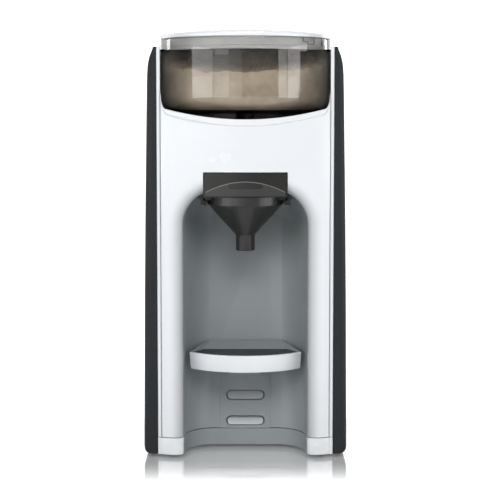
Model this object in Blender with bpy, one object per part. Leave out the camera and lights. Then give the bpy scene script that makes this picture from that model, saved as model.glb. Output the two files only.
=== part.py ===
"""Formula dispenser: a countertop machine that mixes milk powder and warm water into a bottle.

All sizes below are in millimetres and become metres when a mesh is made. The origin lies on the
counter under the middle of the machine, +X is the machine's right, -Y its front and +Z up.
"""
import math

import bmesh
import bpy
from mathutils import Matrix

MM = 0.001
GAP = 0.3                     # clearance between pieces that touch

# Casing
DEPTH_HALF = 145.0            # front panel centre and water tank dock, from the middle
RAIL_Y = -131.0               # front edges of the side frames and side covers
CASE_BACK = 74.7              # rear face of the casing, behind which the water tank stands
FOOT_HEIGHT = 2.5
BASE_BOTTOM = FOOT_HEIGHT + GAP
BASE_TOP = 16.1               # seam between base and housings
CASE_BOTTOM = BASE_TOP + GAP
CASE_TOP = 324.0
WALL = 2.5
PANEL_HALF = 66.2             # front housing
RAIL_OUT = 69.3               # outer side of the white rails
FRAME_IN = 70.3               # side frame wall
FRAME_OUT = 72.5
FRONT_RADIUS = 176.0          # crown of the front panel in plan
FRONT_CENTRE_Y = FRONT_RADIUS - DEPTH_HALF
# Outer half width of the side covers at a few heights: straight taper, then a rounded shoulder
COVER_PROFILE = ((2.8, 77.6), (3.8, 79.4), (7.0, 80.6), (127.0, 79.6), (204.0, 78.6), (243.0, 77.9),
                 (289.0, 77.0), (306.0, 76.5), (314.0, 75.8), (319.0, 74.7), (322.0, 73.1), (324.1, 71.4))
COVER_WALL = 2.2
COVER_CORNER = 5.0

# Bottle bay
ARCH_HALF = 48.9
ARCH_RADIUS = 28.0
ARCH_SPRING = 185.0
ARCH_TOP = ARCH_SPRING + ARCH_RADIUS
EDGE_WIDTH = 12.0             # soft rounding round the arch
EDGE_SINK = 8.5
BAY_DEPTH = 33.5              # back wall behind the rails, at the base
BAY_LEAN = 0.155              # how much deeper per millimetre of height
BAY_BACK_HALF = 28.8
BAY_BACK_SPRING = 184.5
BAY_BACK_RADIUS = 6.5
PLATE_HALF = 20.6
PLATE_TOP = 84.0
SLOT_HALF = 15.5
SLOT_HEIGHT = 7.4
SLOT_LEVELS = (22.5, 43.0, 63.9)
SLOT_DEPTH = 12.0

# Powder container and lid
AXIS_Y = -71.0
CONTAINER_RADIUS = 69.5
CONTAINER_BOTTOM = 272.5
CONTAINER_TOP = 331.8
CONTAINER_WALL = 2.2
CONTAINER_FILLET = 13.0
LID_TOP = 339.5
OUTLET_Y = -115.0             # powder outlet, over the funnel

# Funnel
FUNNEL_RADIUS = 30.0
FUNNEL_TOP = 207.3
SPOUT_RADIUS = 7.5
SHIELD_HALF = 32.6
SHIELD_BOTTOM = 207.6
SHIELD_TOP = 226.8

# Drive
MODULE = 1.8
GEAR_TEETH = 32
PINION_TEETH = 8
GEAR_LOW = 247.0
GEAR_HIGH = 253.0
PINION_Y = AXIS_Y + MODULE * (GEAR_TEETH + PINION_TEETH) / 2

# Bottle stand
STAND_TOP = 82.7
STAND_BAND = 13.5
STAND_HALF = 44.6
STAND_CORNER_Y = -119.0
STAND_SAGITTA = 20.4
STAND_Y = -87.0               # origin of the stand's own frame
STAND_CLEARANCE = 0.9         # to the bay wall
BAND_WALL = 3.0
BAND_TAPER = 1.3              # set back of the band's lower edge
DECK_BOTTOM = 1.5             # above the band's lower edge
DECK_DROP = 2.0               # deck below the band's upper edge
WEDGE_DROP = 0.4              # wedge below the band's upper edge, at the front
PAD_BACK_Y = -102.0
PAD_BACK_HALF = 33.8
PAD_THICKNESS = 1.4
NECK_HALF = 29.3              # bracket at the bay wall
NECK_RISE = 5.5               # bracket's upper edge at the wall, above the band
TONGUE_HALF = 13.0
# Hooked tongue that drops into a slot: (y, z) outline in the stand's own frame
TONGUE = ((-12.0, -8.5), (8.5, -8.5), (8.5, -2.1), (-4.6, -2.1), (-4.6, 3.0), (-12.0, 3.0))

# Water tank
TANK_Y = 110.0
TANK_BOTTOM = 84.3
TANK_TOP = 310.0
TANK_HALF = 66.0
TANK_FRONT = 77.5
TANK_BACK = 143.0

# Control panel on the right side cover
PANEL_Y = -84.0
PANEL_Z = 196.0
PANEL_X = 78.9
PANEL_LEAN = math.atan(1.35 / 100.0)
PANEL_WIDE = 46.0
PANEL_TALL = 96.0

WHITE = (0.86, 0.88, 0.90)
GREY = (0.17, 0.19, 0.20)
CHARCOAL = (0.028, 0.031, 0.035)
BLACK = (0.012, 0.013, 0.015)


def clear_scene():
    for item in list(bpy.data.objects):
        bpy.data.objects.remove(item, do_unlink=True)


def material(name, colour, roughness, metallic=0.0, alpha=1.0):
    made = bpy.data.materials.get(name)
    if made is None:
        made = bpy.data.materials.new(name)
        made.use_nodes = True
        shader = made.node_tree.nodes["Principled BSDF"]
        shader.inputs["Base Color"].default_value = (*colour, 1.0)
        shader.inputs["Roughness"].default_value = roughness
        shader.inputs["Metallic"].default_value = metallic
        shader.inputs["Alpha"].default_value = alpha
    return made


def make_object(name, bm, mat, at=(0, 0, 0), parent=None, smooth=False):
    """Turn a bmesh in millimetres, drawn round its own origin, into a named object in metres."""
    bmesh.ops.recalc_face_normals(bm, faces=bm.faces[:])
    bmesh.ops.scale(bm, vec=(MM, MM, MM), verts=bm.verts[:])
    mesh = bpy.data.meshes.new(name)
    bm.to_mesh(mesh)
    bm.free()
    if smooth:
        mesh.shade_smooth()
        mesh.set_sharp_from_angle(angle=math.radians(35))
    mesh.materials.append(mat)
    made = bpy.data.objects.new(name, mesh)
    made.location = [value * MM for value in at]
    made.parent = parent
    bpy.context.scene.collection.objects.link(made)
    return made


def tool(name, bm, at=(0, 0, 0), parent=None):
    """A hidden solid that only cuts or joins."""
    made = make_object(name, bm, material("tool", (1, 0, 0), 0.5), at, parent)
    made.hide_render = True
    made.display_type = "WIRE"
    return made


def boolean(target, other, operation):
    step = target.modifiers.new(other.name, "BOOLEAN")
    step.operation = operation
    step.solver = "EXACT"
    step.object = other


def cut(target, other):
    boolean(target, other, "DIFFERENCE")


def unite(target, other):
    boolean(target, other, "UNION")


def arc(centre_u, centre_v, radius, start, end, steps):
    """Points on an arc, angles in degrees, both ends included."""
    points = []
    for index in range(steps + 1):
        angle = math.radians(start + (end - start) * index / steps)
        points.append((centre_u + radius * math.cos(angle), centre_v + radius * math.sin(angle)))
    return points


def circle(centre_u, centre_v, radius, steps):
    return arc(centre_u, centre_v, radius, 0, 360, steps)[:-1]


def rounded_box(low_u, high_u, low_v, high_v, radius, steps=4):
    corners = ((high_u - radius, high_v - radius, 0), (low_u + radius, high_v - radius, 90),
               (low_u + radius, low_v + radius, 180), (high_u - radius, low_v + radius, 270))
    points = []
    for centre_u, centre_v, start in corners:
        points += arc(centre_u, centre_v, radius, start, start + 90, steps)
    return points


def box(low_u, high_u, low_v, high_v):
    return [(low_u, low_v), (high_u, low_v), (high_u, high_v), (low_u, high_v)]


def place(u, v, w, axis):
    """An outline point (u, v) at distance w along the extrusion axis."""
    return {"X": (w, u, v), "Y": (u, w, v), "Z": (u, v, w)}[axis]


def loft(sections, closed_rows=True, caps=True):
    """Skin a list of equally long rows of points."""
    bm = bmesh.new()
    rows = [[bm.verts.new(point) for point in section] for section in sections]
    count = len(rows[0])
    for row, upper in zip(rows, rows[1:]):
        for index in range(count if closed_rows else count - 1):
            after = (index + 1) % count
            bm.faces.new((row[index], row[after], upper[after], upper[index]))
    if caps:
        bm.faces.new(list(reversed(rows[0])))
        bm.faces.new(rows[-1])
    return bm


def prism(outline, low, high, axis="Z"):
    return loft([[place(u, v, w, axis) for u, v in outline] for w in (low, high)])


def turned(profile, steps=48):
    """Revolve a closed (radius, height) outline about Z; points at radius 0 lie on the axis."""
    bm = bmesh.new()
    axis_verts = {height: bm.verts.new((0, 0, height)) for radius, height in profile if radius == 0}
    rings = []
    for radius, height in profile:
        if radius == 0:
            rings.append([axis_verts[height]] * steps)
        else:
            rings.append([bm.verts.new((*point, height)) for point in circle(0, 0, radius, steps)])
    for ring, following in zip(rings, rings[1:] + rings[:1]):
        for index in range(steps):
            after = (index + 1) % steps
            corners = []
            for vert in (ring[index], ring[after], following[after], following[index]):
                if vert not in corners:
                    corners.append(vert)
            if len(corners) > 2:
                bm.faces.new(corners)
    return bm


def front_y(x):
    """Front face of the crowned panel."""
    return FRONT_CENTRE_Y - math.sqrt(FRONT_RADIUS ** 2 - x * x)


def front_arc(half, offset, steps):
    """Plan points along the crowned front, from left to right, set back by an offset."""
    points = []
    for index in range(steps + 1):
        x = half * (2 * index / steps - 1)
        points.append((x, front_y(x) + offset))
    return points


def edge_sink(distance):
    """How far the soft edge round the arch falls back from the panel."""
    if distance >= EDGE_WIDTH:
        return 0.0
    turn = 1 - distance / EDGE_WIDTH
    return EDGE_SINK * (1 - math.sqrt(1 - turn * turn))


def lip_z(x):
    """Upper edge of the front panel: lowest in the middle, with a horn at each end."""
    x = abs(x)
    if x <= 63.0:
        return 267.8 + 8.1 * (x / 63.0) ** 2
    turn = min((x - 63.0) / 3.2, 1.0)
    return 275.9 + 14.0 * (1 - math.sqrt(1 - turn * turn))


def arch_path(half, spring, radius, bottom, side_steps=6, arc_steps=8, top_steps=4):
    """(x, z, outward x, outward z) round an arch, from its left foot to its right foot."""
    points = []
    for index in range(side_steps):
        points.append((-half, bottom + (spring - bottom) * index / side_steps, -1.0, 0.0))
    for x, z in arc(half - radius, spring, radius, 0, 90, arc_steps):
        points.append((-x, z, -(x - half + radius) / radius, (z - spring) / radius))
    flat = half - radius
    for index in range(1, top_steps // 2 + 1):
        points.append((-flat + flat * 2 * index / top_steps, spring + radius, 0.0, 1.0))
    mirrored = [(-x, z, -nx, nz) for x, z, nx, nz in reversed(points[:-1])]
    return points + mirrored


def panel_rim(count, side_steps=6, arc_steps=8):
    """(x, z) points along the outer edge of the front panel that match arch_path."""
    points = []
    for index in range(side_steps):
        points.append((-PANEL_HALF, CASE_BOTTOM + (ARCH_SPRING - CASE_BOTTOM) * index / side_steps))
    turn = arc_steps // 2
    horn = lip_z(PANEL_HALF)
    for index in range(turn):
        points.append((-PANEL_HALF, ARCH_SPRING + (horn - ARCH_SPRING) * index / turn))
    left = count // 2 - len(points)
    for index in range(left + 1):
        x = -PANEL_HALF * math.cos(math.pi / 2 * index / left)
        points.append((x, lip_z(x)))
    mirrored = [(-x, z) for x, z in reversed(points[:-1])]
    return points + mirrored


def front_housing(white):
    path = arch_path(ARCH_HALF, ARCH_SPRING, ARCH_RADIUS, CASE_BOTTOM)
    rim = panel_rim(len(path))
    outer_rows = []
    for distance in (0.0, 0.5, 2.0, 4.5, 8.0, EDGE_WIDTH):
        row = []
        for x, z, out_x, out_z in path:
            px = x + distance * out_x
            row.append((px, front_y(px) + edge_sink(distance), z + distance * out_z))
        outer_rows.append(row)
    last = outer_rows[-1]
    for share in (0.5, 1.0):
        row = []
        for (px, _, pz), (rx, rz) in zip(last, rim):
            x = px + (rx - px) * share
            row.append((x, front_y(x), pz + (rz - pz) * share))
        outer_rows.append(row)
    inner_rows = [[(x, y + WALL, z) for x, y, z in row] for row in reversed(outer_rows)]
    bm = loft(outer_rows + inner_rows + outer_rows[:1], closed_rows=False, caps=False)
    bmesh.ops.remove_doubles(bm, verts=bm.verts[:], dist=0.001)
    bmesh.ops.holes_fill(bm, edges=bm.edges[:], sides=0)
    made = make_object("front_housing", bm, white)
    opening = prism(box(-SHIELD_HALF - GAP, SHIELD_HALF + GAP, 200.0, SHIELD_TOP + GAP), -150, -125, "Y")
    cut(made, tool("shield_opening", opening))


def bay_point(path_point, back_point, spread, share):
    """A point of the bay surface between the arch (share 0) and the back wall (share 1)."""
    x, z, out_x, out_z = path_point
    back_x, back_z, back_out_x, back_out_z = back_point
    start = (x + spread * out_x, z + spread * out_z)
    end = (back_x + spread * back_out_x, back_z + spread * back_out_z)
    start_y = front_y(x) + EDGE_SINK + WALL + GAP
    end_y = bay_wall_y(end[1]) + spread
    middle = (start[0] * 0.91 + end[0] * 0.09, start[1] * 0.93 + end[1] * 0.07)
    middle_y = start_y + 0.8 * (end_y - start_y)
    early = (1 - share) ** 2
    mixed = 2 * share * (1 - share)
    late = share ** 2
    return (early * start[0] + mixed * middle[0] + late * end[0],
            early * start_y + mixed * middle_y + late * end_y,
            early * start[1] + mixed * middle[1] + late * end[1])


def bay_wall_y(z):
    return RAIL_Y + BAY_DEPTH + BAY_LEAN * (z - CASE_BOTTOM)


def bay_liner(grey):
    front = arch_path(ARCH_HALF, ARCH_SPRING, ARCH_RADIUS, CASE_BOTTOM)
    back = arch_path(BAY_BACK_HALF, BAY_BACK_SPRING, BAY_BACK_RADIUS, CASE_BOTTOM)
    shares = (0.0, 0.25, 0.45, 0.62, 0.78, 0.9, 1.0)
    skins = []
    for spread in (0.0, 2.0):
        skins.append([[bay_point(f, b, spread, share) for f, b in zip(front, back)] for share in shares])
    rows = list(reversed(skins[0])) + skins[1]
    bm = loft(rows, closed_rows=False, caps=False)
    bm.verts.ensure_lookup_table()
    count = len(front)
    bm.faces.new(bm.verts[:count])
    bm.faces.new(bm.verts[len(bm.verts) - count:])
    bmesh.ops.holes_fill(bm, edges=[e for e in bm.edges if len(e.link_faces) == 1], sides=0)
    made = make_object("bay_liner", bm, grey, smooth=True)
    hole = PLATE_HALF + GAP
    low = CASE_BOTTOM + 1.5
    plate_hole = prism(box(-hole, hole, low - GAP, PLATE_TOP + GAP), -104, -70, "Y")
    cut(made, tool("plate_hole", plate_hole))
    frame_hole = prism(box(-35.5, 35.5, 190.0, 222.0), -140, -82.7, "Y")
    cut(made, tool("frame_hole", frame_hole))
    return low


def slot_plate(grey, low):
    """Block behind the bay wall with three blind slots for the stand's tongue."""
    front = [(bay_wall_y(z) - 0.6, z) for z in (low, PLATE_TOP)]
    back = [(bay_wall_y(z) + SLOT_DEPTH + WALL, z) for z in (PLATE_TOP, low)]
    made = make_object("slot_plate", prism(front + back, -PLATE_HALF, PLATE_HALF, "X"), grey)
    for index, level in enumerate(SLOT_LEVELS):
        pill = rounded_box(-SLOT_HALF, SLOT_HALF, level - SLOT_HEIGHT / 2, level + SLOT_HEIGHT / 2,
                           SLOT_HEIGHT / 2 - 0.05, 4)
        pocket = prism(pill, -110, bay_wall_y(level) + SLOT_DEPTH, "Y")
        cut(made, tool("slot_%d" % (index + 1), pocket))


def rear_corners(half, back, radius=30.0, steps=7):
    """Plan points round the two rounded rear corners, right to left."""
    right = arc(half - radius, back - radius, radius, 0, 90, steps)
    left = arc(radius - half, back - radius, radius, 90, 180, steps)
    return right + left


def bay_plan(spread, y_start):
    """Plan curve round the bay at floor level, from left to right."""
    start = (-ARCH_HALF - spread, CASE_BOTTOM, 0.0, 0.0)
    end = (-BAY_BACK_HALF - spread, CASE_BOTTOM, 0.0, 0.0)
    points = [(start[0], y_start)]
    for share in (0.0, 0.25, 0.45, 0.62, 0.78, 0.9, 1.0):
        x, y, _ = bay_point(start, end, 0.0, share)
        points.append((x, y + spread))
    return points + [(-x, y) for x, y in reversed(points)]


def base(white, grey, rubber, steel):
    left = [(x, y) for x, y in front_arc(RAIL_OUT, 0.0, 24) if x < -ARCH_HALF - 2.2]
    right = [(-x, y) for x, y in reversed(left)]
    recess = bay_plan(2.0, front_y(ARCH_HALF + 2.0))
    step = [(RAIL_OUT, -128.0), (FRAME_OUT, -128.0), (FRAME_OUT, CASE_BACK), (RAIL_OUT, CASE_BACK)]
    step_back = [(-x, y) for x, y in reversed(step)]
    outline = left + recess + right + step + rear_corners(RAIL_OUT, DEPTH_HALF) + step_back
    made = make_object("base_tray", prism(outline, BASE_BOTTOM, BASE_TOP), white)
    pocket = ([(-RAIL_OUT + WALL, -70.0), (RAIL_OUT - WALL, -70.0)]
              + rear_corners(RAIL_OUT - WALL, DEPTH_HALF - WALL, 30.0 - WALL))
    cut(made, tool("base_pocket", prism(pocket, BASE_BOTTOM + WALL, BASE_TOP + 2)))
    inner = bay_plan(0.0, front_y(ARCH_HALF) + 2.0)
    trim = inner + list(reversed(bay_plan(1.7, front_y(ARCH_HALF) + 2.0)))
    make_object("base_bay_trim", prism(trim, BASE_BOTTOM, BASE_TOP), grey)
    foot = ((0, 0), (4.2, 0), (4.7, 0.6), (4.7, FOOT_HEIGHT), (0, FOOT_HEIGHT))
    for index, (x, y) in enumerate(((58, -119), (-58, -119), (52, 122), (-52, 122))):
        make_object("foot_%d" % (index + 1), turned(foot, 20), rubber, (x, y, 0), smooth=True)
    screw = ((0, 0), (3.0, 0), (3.0, 1.8), (1.5, 1.8), (1.5, 9.0), (0, 9.0))
    for index, (x, y) in enumerate(((50, -40), (-50, -40), (50, 55), (-50, 55))):
        seat = prism(circle(x, y, 3.3, 16), BASE_BOTTOM - 1, BASE_BOTTOM + WALL + 1)
        cut(made, tool("screw_seat_%d" % (index + 1), seat))
        make_object("base_screw_%d" % (index + 1), turned(screw, 16), steel, (x, y, BASE_BOTTOM + 0.4))


def side_frame(name, side, white):
    outline = [(66.5, RAIL_Y), (RAIL_OUT, RAIL_Y), (RAIL_OUT, -128.0), (FRAME_OUT, -128.0),
               (FRAME_OUT, CASE_BACK), (FRAME_IN, CASE_BACK), (FRAME_IN, -125.5), (66.5, -125.5)]
    outline = [(side * x, y) for x, y in outline]
    make_object(name, prism(outline, CASE_BOTTOM, CASE_TOP), white)


def cover_section(z, half, inset, inner):
    """Plan outline of a side cover at one height, in positive X."""
    low, high = RAIL_Y + inset, CASE_BACK + GAP - inset
    radius = min(COVER_CORNER - inset, (half - inset - inner) * 0.8)
    outline = [(inner, low)]
    outline += arc(half - inset - radius, low + radius, radius, -90, 0, 4)
    outline += arc(half - inset - radius, high - radius, radius, 0, 90, 4)
    outline.append((inner, high))
    return [(x, y, z) for x, y in outline]


def cover_half(z):
    for (low, start), (high, end) in zip(COVER_PROFILE, COVER_PROFILE[1:]):
        if low <= z <= high:
            return start + (end - start) * (z - low) / (high - low)
    return COVER_PROFILE[-1][1]


def side_cover(name, side, charcoal):
    inner = RAIL_OUT + GAP
    skin = loft([cover_section(z, half, 0.0, inner) for z, half in COVER_PROFILE])
    levels = (5.2, 127.0, 204.0, 289.0, 314.0)
    hollow = loft([cover_section(z, cover_half(z), COVER_WALL, 60.0) for z in levels])
    floor = prism(box(60.0, FRAME_OUT + GAP, RAIL_Y + COVER_WALL, CASE_BACK + 9), 0.0, 340.0)
    if side < 0:
        for bm in (skin, hollow, floor):
            bmesh.ops.scale(bm, vec=(-1, 1, 1), verts=bm.verts[:])
    made = make_object(name, skin, charcoal, smooth=True)
    cut(made, tool(name + "_hollow", hollow))
    cut(made, tool(name + "_room", floor))
    return made


def container_seat(black):
    front = front_arc(65.9, WALL + GAP, 24)
    outline = front + [(65.9, -125.2), (70.0, -125.2), (70.0, -52.0)]
    outline += [(67.0, -52.0), (67.0, 0.0), (-67.0, 0.0), (-67.0, -52.0)]
    outline += [(-70.0, -52.0), (-70.0, -125.2), (-65.9, -125.2)]
    made = make_object("container_seat", prism(outline, 262.0, 266.7), black)
    unite(made, tool("seat_boss", prism(circle(0, AXIS_Y, 50.0, 36), 264.0, CONTAINER_BOTTOM - GAP)))
    cut(made, tool("seat_hub_hole", prism(circle(0, AXIS_Y, 10.0, 24), 250, 280)))
    cut(made, tool("seat_outlet", prism(circle(0, OUTLET_Y, 9.0, 24), 250, 280)))


def top_deck(charcoal):
    reach = 74.0
    inner = arc(0, AXIS_Y, CONTAINER_RADIUS + 1.0, 90 + reach, 90 - reach, 24)
    wall = inner + arc(0, AXIS_Y, CONTAINER_RADIUS + 3.0, 90 - reach, 90 + reach, 24)
    deck = inner + [(70.0, inner[-1][1]), (70.0, CASE_BACK), (-70.0, CASE_BACK), (-70.0, inner[0][1])]
    made = make_object("top_deck", prism(deck, 318.3, 321.3), charcoal)
    unite(made, tool("deck_well", prism(wall, 267.5, 320.0)))


def rear_housing(charcoal):
    outline = [(-70.0, 40.0), (-67.8, 40.0), (-67.8, 72.2), (67.8, 72.2), (67.8, 40.0), (70.0, 40.0),
               (70.0, CASE_BACK), (-70.0, CASE_BACK)]
    made = make_object("rear_housing", prism(outline, CASE_BOTTOM, 318.0), charcoal)
    cut(made, tool("hose_hole", prism(circle(-20.0, 45.0, 5.0, 20), 60, 90, "Y")))


def tank_dock(charcoal, black):
    front = CASE_BACK + 0.6
    outline = [(-70.0, front), (70.0, front)] + rear_corners(70.0, DEPTH_HALF)
    made = make_object("tank_dock", prism(outline, CASE_BOTTOM, TANK_BOTTOM - GAP), charcoal)
    pocket = [(-67.5, front - 4), (67.5, front - 4)] + rear_corners(67.5, DEPTH_HALF - WALL, 27.5)
    cut(made, tool("dock_pocket", prism(pocket, 0, TANK_BOTTOM - GAP - WALL)))
    cut(made, tool("dock_valve_hole", prism(circle(0, TANK_Y, 10.5, 28), 60, 100)))
    opening = rounded_box(-14.3, 14.3, 29.7, 50.3, 3.0)
    cut(made, tool("inlet_opening", prism(opening, 120, 160, "Y")))
    inlet = make_object("power_inlet", prism(rounded_box(-14, 14, 30, 50, 2.7), 126, 144.6, "Y"), black)
    cut(inlet, tool("inlet_socket", prism(rounded_box(-11, 11, 33, 47, 2.0), 129, 150, "Y")))
    for index, x in enumerate((-5.0, 5.0)):
        unite(inlet, tool("inlet_pin_%d" % (index + 1), prism(circle(x, 40, 1.2, 10), 127.5, 142, "Y")))


def water_tank(clear, charcoal, black, orange):
    body = bpy.data.objects.new("water_tank_axis", None)
    body.location = (0, TANK_Y * MM, TANK_BOTTOM * MM)
    bpy.context.scene.collection.objects.link(body)
    at = (0, -TANK_Y, -TANK_BOTTOM)
    outline = rounded_tank(0.0)
    made = make_object("water_tank", prism(outline, TANK_BOTTOM, TANK_TOP), clear, at, body)
    cut(made, tool("tank_room", prism(rounded_tank(2.2), TANK_BOTTOM + 2.2, TANK_TOP + 5), at, body))
    spout = turned(((5.0, -7.0), (8.0, -7.0), (8.0, 1.0), (5.0, 1.0)), 32)
    unite(made, tool("tank_spout", spout, (0, 0, 0), body))
    cut(made, tool("tank_outlet", turned(((0, -9), (5.0, -9), (5.0, 5), (0, 5)), 32), (0, 0, 0), body))
    poppet = turned(((0, -5.5), (2.0, -5.5), (2.0, 2.5), (7.5, 2.5), (7.5, 5.0), (0, 5.0)), 24)
    make_object("tank_valve", poppet, black, (0, 0, 0), body, True)
    rod = turned(((0, 1.5), (1.6, 1.5), (1.6, 205), (0, 205)), 16)
    unite(made, tool("float_rod", rod, (-50, -18, 0), body))
    ring = turned(((2.1, 0), (8.0, 0), (8.0, 14), (2.1, 14)), 24)
    make_object("level_float", ring, orange, (-50, -18, 4), body, True)
    lid_tank(charcoal)


def rounded_tank(inset):
    half, low, high = TANK_HALF - inset, TANK_FRONT + inset, TANK_BACK - inset
    corner = 8.0 - inset
    left = arc(corner - half, low + corner, corner, 180, 270, 3)
    right = arc(half - corner, low + corner, corner, 270, 360, 3)
    return left + right + rear_corners(half, high, 28.0 - inset)


def lid_tank(charcoal):
    """Flat lid hinged along the tank's rear edge."""
    hinge = (0, TANK_BACK + 0.5, TANK_TOP + 0.2)
    outline = [(x, y - hinge[1]) for x, y in rounded_tank(-0.5)]
    slab = prism(outline, TANK_TOP + GAP - hinge[2], TANK_TOP + 6.0 - hinge[2])
    made = make_object("tank_lid", slab, charcoal, hinge)
    grip = prism(rounded_box(-18, 18, -61.0, -47.0, 4.0), 3.6, 9.0)
    cut(made, tool("lid_grip", grip, hinge))


def container(clear, black, white):
    at = (0, AXIS_Y, CONTAINER_BOTTOM)
    height = CONTAINER_TOP - CONTAINER_BOTTOM
    inner = CONTAINER_RADIUS - CONTAINER_WALL
    centre = CONTAINER_RADIUS - CONTAINER_FILLET
    outside = [(centre + u, CONTAINER_FILLET + v) for u, v in arc(0, 0, CONTAINER_FILLET, -90, 0, 4)]
    inner_fillet = CONTAINER_FILLET - CONTAINER_WALL
    inside = [(centre + u, CONTAINER_FILLET + v) for u, v in arc(0, 0, inner_fillet, 0, -90, 4)]
    profile = ([(7.0, 0)] + outside + [(CONTAINER_RADIUS, height), (inner, height)]
               + inside + [(7.0, CONTAINER_WALL)])
    made = make_object("powder_container", turned(profile, 48), clear, at, smooth=True)
    outlet = prism(circle(0, OUTLET_Y - AXIS_Y, 7.0, 24), -5, 5)
    cut(made, tool("container_outlet", outlet, at))
    stirring_wheel(black)
    container_lid(white, black)


def sector(inner, outer, start, end, steps):
    return arc(0, 0, outer, start, end, steps) + arc(0, 0, inner, end, start, steps)


def stirring_wheel(black):
    """Measuring wheel with four pockets, a post with two stirring fingers and a hexagonal foot."""
    at = (0, AXIS_Y, CONTAINER_BOTTOM + CONTAINER_WALL + 0.4)
    made = make_object("stirring_wheel", prism(circle(0, 0, 54.0, 36), 0, 6.0), black, at)
    for index in range(4):
        pocket = prism(sector(34.0, 51.0, 90 * index + 12, 90 * index + 78, 5), -2, 9)
        cut(made, tool("wheel_pocket_%d" % (index + 1), pocket, at))
    post = ((0, -6.0), (4.5, -6.0), (4.5, -2.7), (6.2, -2.7), (6.2, 1.0), (8.0, 1.0), (8.0, 24), (0, 24))
    unite(made, tool("wheel_post", turned(post, 6), at))
    unite(made, tool("wheel_finger", prism(rounded_box(-44, 44, -2.0, 2.0, 1.9, 3), 16, 21), at))


def container_lid(white, black):
    at = (0, AXIS_Y, CONTAINER_TOP + GAP)
    top = LID_TOP - CONTAINER_TOP - GAP
    inner = CONTAINER_RADIUS - CONTAINER_WALL
    dome = [(CONTAINER_RADIUS * math.cos(a), 3.0 + (top - 3.0) * math.sin(a))
            for a in [math.radians(step * 90 / 5) for step in range(6)]]
    dome[-1] = (0, top)
    profile = ([(inner - 3.2, -10.0), (inner - 0.5, -10.0), (inner - 0.5, 0), (CONTAINER_RADIUS, 0)]
               + dome + [(0, top - 2.4), (inner - 12, 1.8), (inner - 3.2, 0.6)])
    made = make_object("container_lid", turned(profile, 48), white, at, smooth=True)
    tab = prism(rounded_box(-25.0, -14.0, -1.2, 1.2, 1.0, 2), -16.0, 4.0)
    unite(made, tool("lid_tab", tab, at))


def tooth_outline(teeth, side):
    """Straight-flanked teeth with clearance at tip and flank; side 0 or 1 sets the tooth phase."""
    pitch_radius = MODULE * teeth / 2
    step = 2 * math.pi / teeth
    points = []
    for index in range(teeth):
        middle = (index + 0.5 * side) * step
        for radius, share in ((pitch_radius - 1.35 * MODULE, -0.30), (pitch_radius + 0.85 * MODULE, -0.11),
                              (pitch_radius + 0.85 * MODULE, 0.11), (pitch_radius - 1.35 * MODULE, 0.30)):
            angle = middle + share * step
            points.append((radius * math.cos(angle), radius * math.sin(angle)))
    return points


def drive(steel, black, white):
    at = (0, AXIS_Y, GEAR_LOW)
    teeth = [(y, x) for x, y in tooth_outline(GEAR_TEETH, 0)]
    gear = make_object("drive_gear", prism(teeth, 0, GEAR_HIGH - GEAR_LOW), white, at)
    hub_top = CONTAINER_BOTTOM - 1.2 - GEAR_LOW
    hub = turned(((3.3, -2.0), (9.4, -2.0), (9.4, hub_top), (3.3, hub_top)), 24)
    unite(gear, tool("gear_hub", hub, at))
    cut(gear, tool("gear_bore", prism(circle(0, 0, 3.3, 24), -5, hub_top - 8.0), at))
    cut(gear, tool("gear_socket", prism(circle(0, 0, 5.2, 6), hub_top - 8.0, hub_top + 5), at))
    at = (0, PINION_Y, GEAR_LOW - 1.0)
    teeth = [(y, x) for x, y in tooth_outline(PINION_TEETH, 1)]
    pinion = make_object("drive_pinion", prism(teeth, 0, 8.0), steel, at)
    unite(pinion, tool("pinion_shaft", prism(circle(0, 0, 2.5, 20), -11.0, 10.0), at))
    gearbox_case(black)
    motor = ((0, 199), (17.5, 199), (18.0, 200), (18.0, 236.5), (9, 236.5), (9, 239.0), (2.8, 239.0),
             (2.8, 234), (0, 234))
    make_object("drive_motor", turned(motor, 28), steel, (0, PINION_Y, 0), smooth=True)


def gearbox_case(black):
    outline = box(-38.0, 38.0, -103.0, -20.0)
    made = make_object("gearbox_case", prism(outline, 240.0, 261.7), black)
    cut(made, tool("gearbox_room", prism(box(-35.5, 35.5, -101.5, -22.5), 242.5, 270)))
    cut(made, tool("pinion_shaft_hole", prism(circle(0, PINION_Y, 2.8, 20), 230, 250)))
    unite(made, tool("gear_pin", prism(circle(0, AXIS_Y, 3.0, 20), 241, 258)))


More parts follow.
